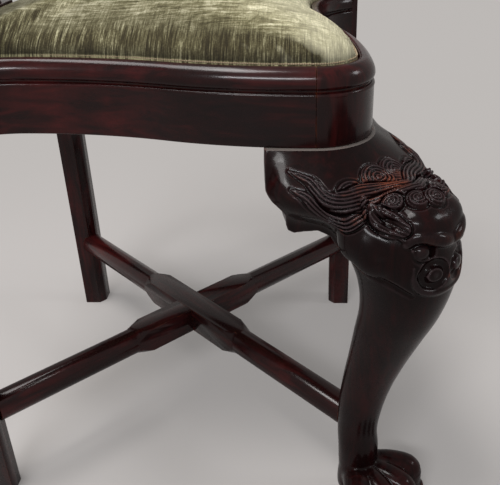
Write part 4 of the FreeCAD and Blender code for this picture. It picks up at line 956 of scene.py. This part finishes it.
def carve_mask(wood):
    """Lion mask on the knee: skull, brows, eyes, muzzle, ears and mane."""
    # skull, muzzle and cheeks
    put_egg(wood, (0, 49, 351), (37, 43, 30), blend=10)
    put_egg(wood, (0, 66, 315), (28, 23, 20), blend=6)
    put_egg(wood, (47, 36, 337), (12, 19, 15), blend=6)
    put_egg(wood, (43, 50, 326), (12, 15, 12), blend=6)
    # mane: flat curls at its root, the lower lock, the wave from the bracket to the forehead,
    # a short lock over it and three spiral curls
    put_curl(wood, (9, 33, 388), 13, 2.2, 3.4, 1.5)
    put_curl(wood, (26, 31, 386), 12, 2.2, 3.4, 1.5)
    put_curl(wood, (42, 26, 381), 14, 2.8, 3.4, 1.6)
    put_curl(wood, (12, 27, 390), 15, 3.2, 3.4, 1.6)
    put_lock(wood, [(75, -13, 381), (70, -3, 376), (65, 7, 369), (59, 16, 361), (54, 29, 359),
                    (48, 36, 364), (42, 40, 370)], (0.8, 7, 13, 17, 18, 17, 13), 2.4, 3.3, 1.7)
    put_lock(wood, [(66, -24, 392), (64, -13, 391), (62, -4, 389), (62, 5, 383), (60, 13, 376),
                    (54, 21, 374), (45, 28, 376), (33, 33, 379), (21, 40, 380), (10, 48, 378),
                    (0, 55, 376)],
             (0.8, 6, 10, 11, 16, 21, 24, 25, 24, 22, 20), 2.8, 3.4, 1.8)
    put_lock(wood, [(36, 38, 378), (25, 44, 380), (14, 51, 380), (0, 57, 380)], (6, 9, 10, 10),
             3.0, 3.1, 1.2)
    for middle in ((27, 52, 374), (13.5, 66, 376), (0, 73, 377)):
        put_curl(wood, middle, 9.3, 4.5, 2.8, 1.5, 1, 0.2, 0.6)
    # ear: its inside and its two rims
    put_lock(wood, [(41, 42, 370), (40, 50, 363), (36, 60, 361), (32, 69, 358)],
             (6, 17, 17, 12), 2.4, 3.2, 0.6)
    put_tube(wood, [(41, 36, 375), (44, 43, 367), (45, 50, 361), (44, 56, 356), (41, 62, 354),
                    (37, 67, 354), (34, 72, 350)], (1.4, 2.6, 3.1, 3.3, 3.3, 3.0, 2.2), 1.0)
    put_tube(wood, [(41, 36, 375), (40, 44, 371), (37, 50, 369), (34, 56, 369), (31, 62, 367),
                    (29, 68, 363)], (1.4, 2.5, 3.0, 3.1, 3.1, 2.6), 1.0)
    # brow and eye
    put_egg(wood, (15, 68, 358), (18, 19, 15), turn=20, blend=6)
    put_egg(wood, (24, 85, 339), (10.5, 8, 8.5), blend=2.5, hollow=True)
    put_tube(wood, [(0, 88, 346), (8, 89, 348), (16, 86, 351), (22, 82, 353), (28, 77, 352),
                    (33, 73, 347)], (6.5, 6.5, 6.5, 6, 5.5, 4), 1.5)
    put_egg(wood, (23.5, 79, 339.5), (7.8, 7.8, 7.6), blend=0.6)
    put_tube(wood, [(31, 78, 342), (27, 81, 334.5), (19, 85, 333)], (1.6, 2.2, 1.8), 1.0)
    # nose with the ring round its end
    put_tube(wood, [(0, 84, 344), (0, 81, 335), (0, 80, 328)], (5.5, 6.5, 7), 3)
    put_egg(wood, (14, 76, 317), (17, 13, 14), blend=4)
    put_tube(wood, [(26, 84, 319), (22.8, 86, 326), (15, 88, 329), (7.2, 91, 326), (4, 93, 319),
                    (7.2, 92, 312), (15, 90, 309.5), (22.8, 87, 312), (26, 84, 319)],
             (4.2,) * 9, 0.8, True, settle=0)
    put_egg(wood, (15, 82.5, 319.5), (7.4, 9.5, 7.4), blend=0.5)
    # lip, chin and jaw line
    put_tube(wood, [(31, 80, 327), (31.5, 81, 317), (27, 84, 307.5), (18, 88, 303),
                    (8, 90, 301.5), (0, 90.5, 301.5)], (2.0, 2.8, 3.2, 3.4, 3.4, 3.4), 1.0)
    put_egg(wood, (0, 74, 291), (18, 12, 9), blend=5)
    put_tube(wood, [(34, 5, 320), (44, 25, 320), (49, 42, 318), (47, 57, 314), (41, 70, 309),
                    (31, 80, 301)], (1, 2.2, 2.8, 2.8, 2.2, 1), 3, True, settle=0)
    wood.value -= wood.relief


def carve_paw(wood):
    """Paw foot: four toes, each with its knuckles and claw."""
    put_egg(wood, (0, 13, 25), (21, 25, 25), blend=8)
    for turn in (13, 40):
        way = np.array((math.sin(math.radians(turn)), math.cos(math.radians(turn)), 0))

        def spots(*pairs):
            return [way * reach + (0, 0, height) for reach, height in pairs]
        put_tube(wood, spots((8, 34), (28, 41), (46, 41), (58, 37.5), (62.5, 18)),
                 (12, 13.5, 14, 14, 12), 3.5)
        put_tube(wood, spots((65, 24), (73.5, 14), (75.5, 4)), (5.5, 4.6, 3.2), 1.6)
    cuts, (side, ahead, z) = wood.whole()
    wood.value[cuts] = np.maximum(wood.value[cuts], -z)


def carved_piece(name, wood, nodes, material):
    """Mesh of the carved wood, both halves, standing for its nodes."""
    value = np.concatenate([wood.value[:0:-1], wood.value])
    low = (-wood.axes[0][-1], wood.axes[1][0], wood.axes[2][0])
    points, faces = surface_net(value, low, wood.step)
    points = np.stack([points[:, 0], -FORE - points[:, 1], points[:, 2]], 1) / MM
    obj = new_object(name, points, faces[:, ::-1], material)
    stand_for(obj, "chair_frame", "mahogany", *nodes)


BLOCK = (0, -125, -3), (95, 125, 425)
STEP = 0.8
wood = Carving(*BLOCK, STEP)
basic_leg(wood)
carve_mask(wood)
carve_paw(wood)
carved_piece("front_leg_carved", wood,
             ("front_leg", "knee_bracket_left", "knee_bracket_right"), MAHOGANY_CARVED)


# Floor, light and finish
PAPER = (0.515, 0.491, 0.474, 1)
ROOM = (0.84, 0.84, 0.86, 1)
ROOM_LIGHT = 0.26
FLOOR_REACH = 6.0
SHADE_MIDDLE = (-0.12, 0.12, 0)
# Distance from there in metres, and the share of plain grey in what the camera sees of the floor
SHADE_NEAR = (0.45, 0.28)
SHADE_FAR = (1.1, 0.95)


def make_floor():
    """Pale studio paper: the camera sees one plain grey, darkened only where the chair shades
    it."""
    n = Nodes("studio")
    n.set(Base_Color=PAPER, Roughness=0.95, Specular_IOR_Level=0.05)
    glow = n.add("Emission", Color=PAPER)
    away = n.measure("DISTANCE", n.place, SHADE_MIDDLE)
    plain = n.rescale(away, SHADE_NEAR[0], SHADE_FAR[0], SHADE_NEAR[1], SHADE_FAR[1])
    ray = n.add("LightPath").outputs
    other = n.math("ADD", ray["Is Glossy Ray"], ray["Is Transmission Ray"])
    seen = n.math("MULTIPLY", n.math("ADD", ray["Is Camera Ray"], other, True), plain)
    both = n.add("MixShader", i0=seen, i1=n.shader.outputs[0], i2=glow.outputs[0])
    n.tree.links.new(both.outputs[0], n.tree.nodes["Material Output"].inputs["Surface"])
    corners = [(x, y, 0) for x, y in ((-FLOOR_REACH, -FLOOR_REACH), (FLOOR_REACH, -FLOOR_REACH),
                                      (FLOOR_REACH, FLOOR_REACH), (-FLOOR_REACH, FLOOR_REACH))]
    floor = new_object("floor", corners, [(0, 1, 2, 3)], n.material)


def make_world():
    """Weak light from all round, where the camera sees the paper's grey."""
    world = bpy.data.worlds.new("world")
    bpy.context.scene.world = world
    world.use_nodes = True
    tree = world.node_tree
    lit = tree.nodes["Background"]
    plain = tree.nodes.new("ShaderNodeBackground")
    for node, colour, strength in ((lit, ROOM, ROOM_LIGHT), (plain, PAPER, 1.0)):
        node.inputs["Color"].default_value = colour
        node.inputs["Strength"].default_value = strength
    ray = tree.nodes.new("ShaderNodeLightPath").outputs
    seen = ray["Is Camera Ray"]
    for kind in ("Is Glossy Ray", "Is Transmission Ray"):
        add = tree.nodes.new("ShaderNodeMath")
        add.use_clamp = True
        tree.links.new(seen, add.inputs[0])
        tree.links.new(ray[kind], add.inputs[1])
        seen = add.outputs[0]
    mix = tree.nodes.new("ShaderNodeMixShader")
    for place, source in enumerate((seen, lit.outputs[0], plain.outputs[0])):
        tree.links.new(source, mix.inputs[place])
    tree.links.new(mix.outputs[0], tree.nodes["World Output"].inputs["Surface"])


def lamp(name, place, target, size, power, colour):
    """Area light that faces its target."""
    data = bpy.data.lights.new(name, "AREA")
    data.shape = "RECTANGLE"
    data.size, data.size_y = size
    data.energy = power
    data.color = colour
    obj = bpy.data.objects.new(name, data)
    obj.location = place
    obj.rotation_euler = (Vector(target) - Vector(place)).to_track_quat("-Z", "Y").to_euler()
    bpy.context.scene.collection.objects.link(obj)


make_floor()
make_world()
lamp("top", (-1.5, 0.1, 4.8), (0, 0, 0.2), (1.2, 1.2), 85, (1, 0.98, 0.97))
lamp("top_left", (-1.2, 1.2, 4.8), (0, 0, 0.2), (1.5, 1.5), 85, (1, 0.98, 0.97))
lamp("left", (-3.0, -1.85, 2.7), (-0.1, -0.2, 0.4), (1.9, 0.45), 85, (0.96, 0.97, 1))
lamp("right", (3.4, -3.4, 3.0), (0, -0.2, 0.35), (1.1, 1.1), 45, (0.97, 0.98, 1))
bpy.context.scene.view_settings.view_transform = "Standard"
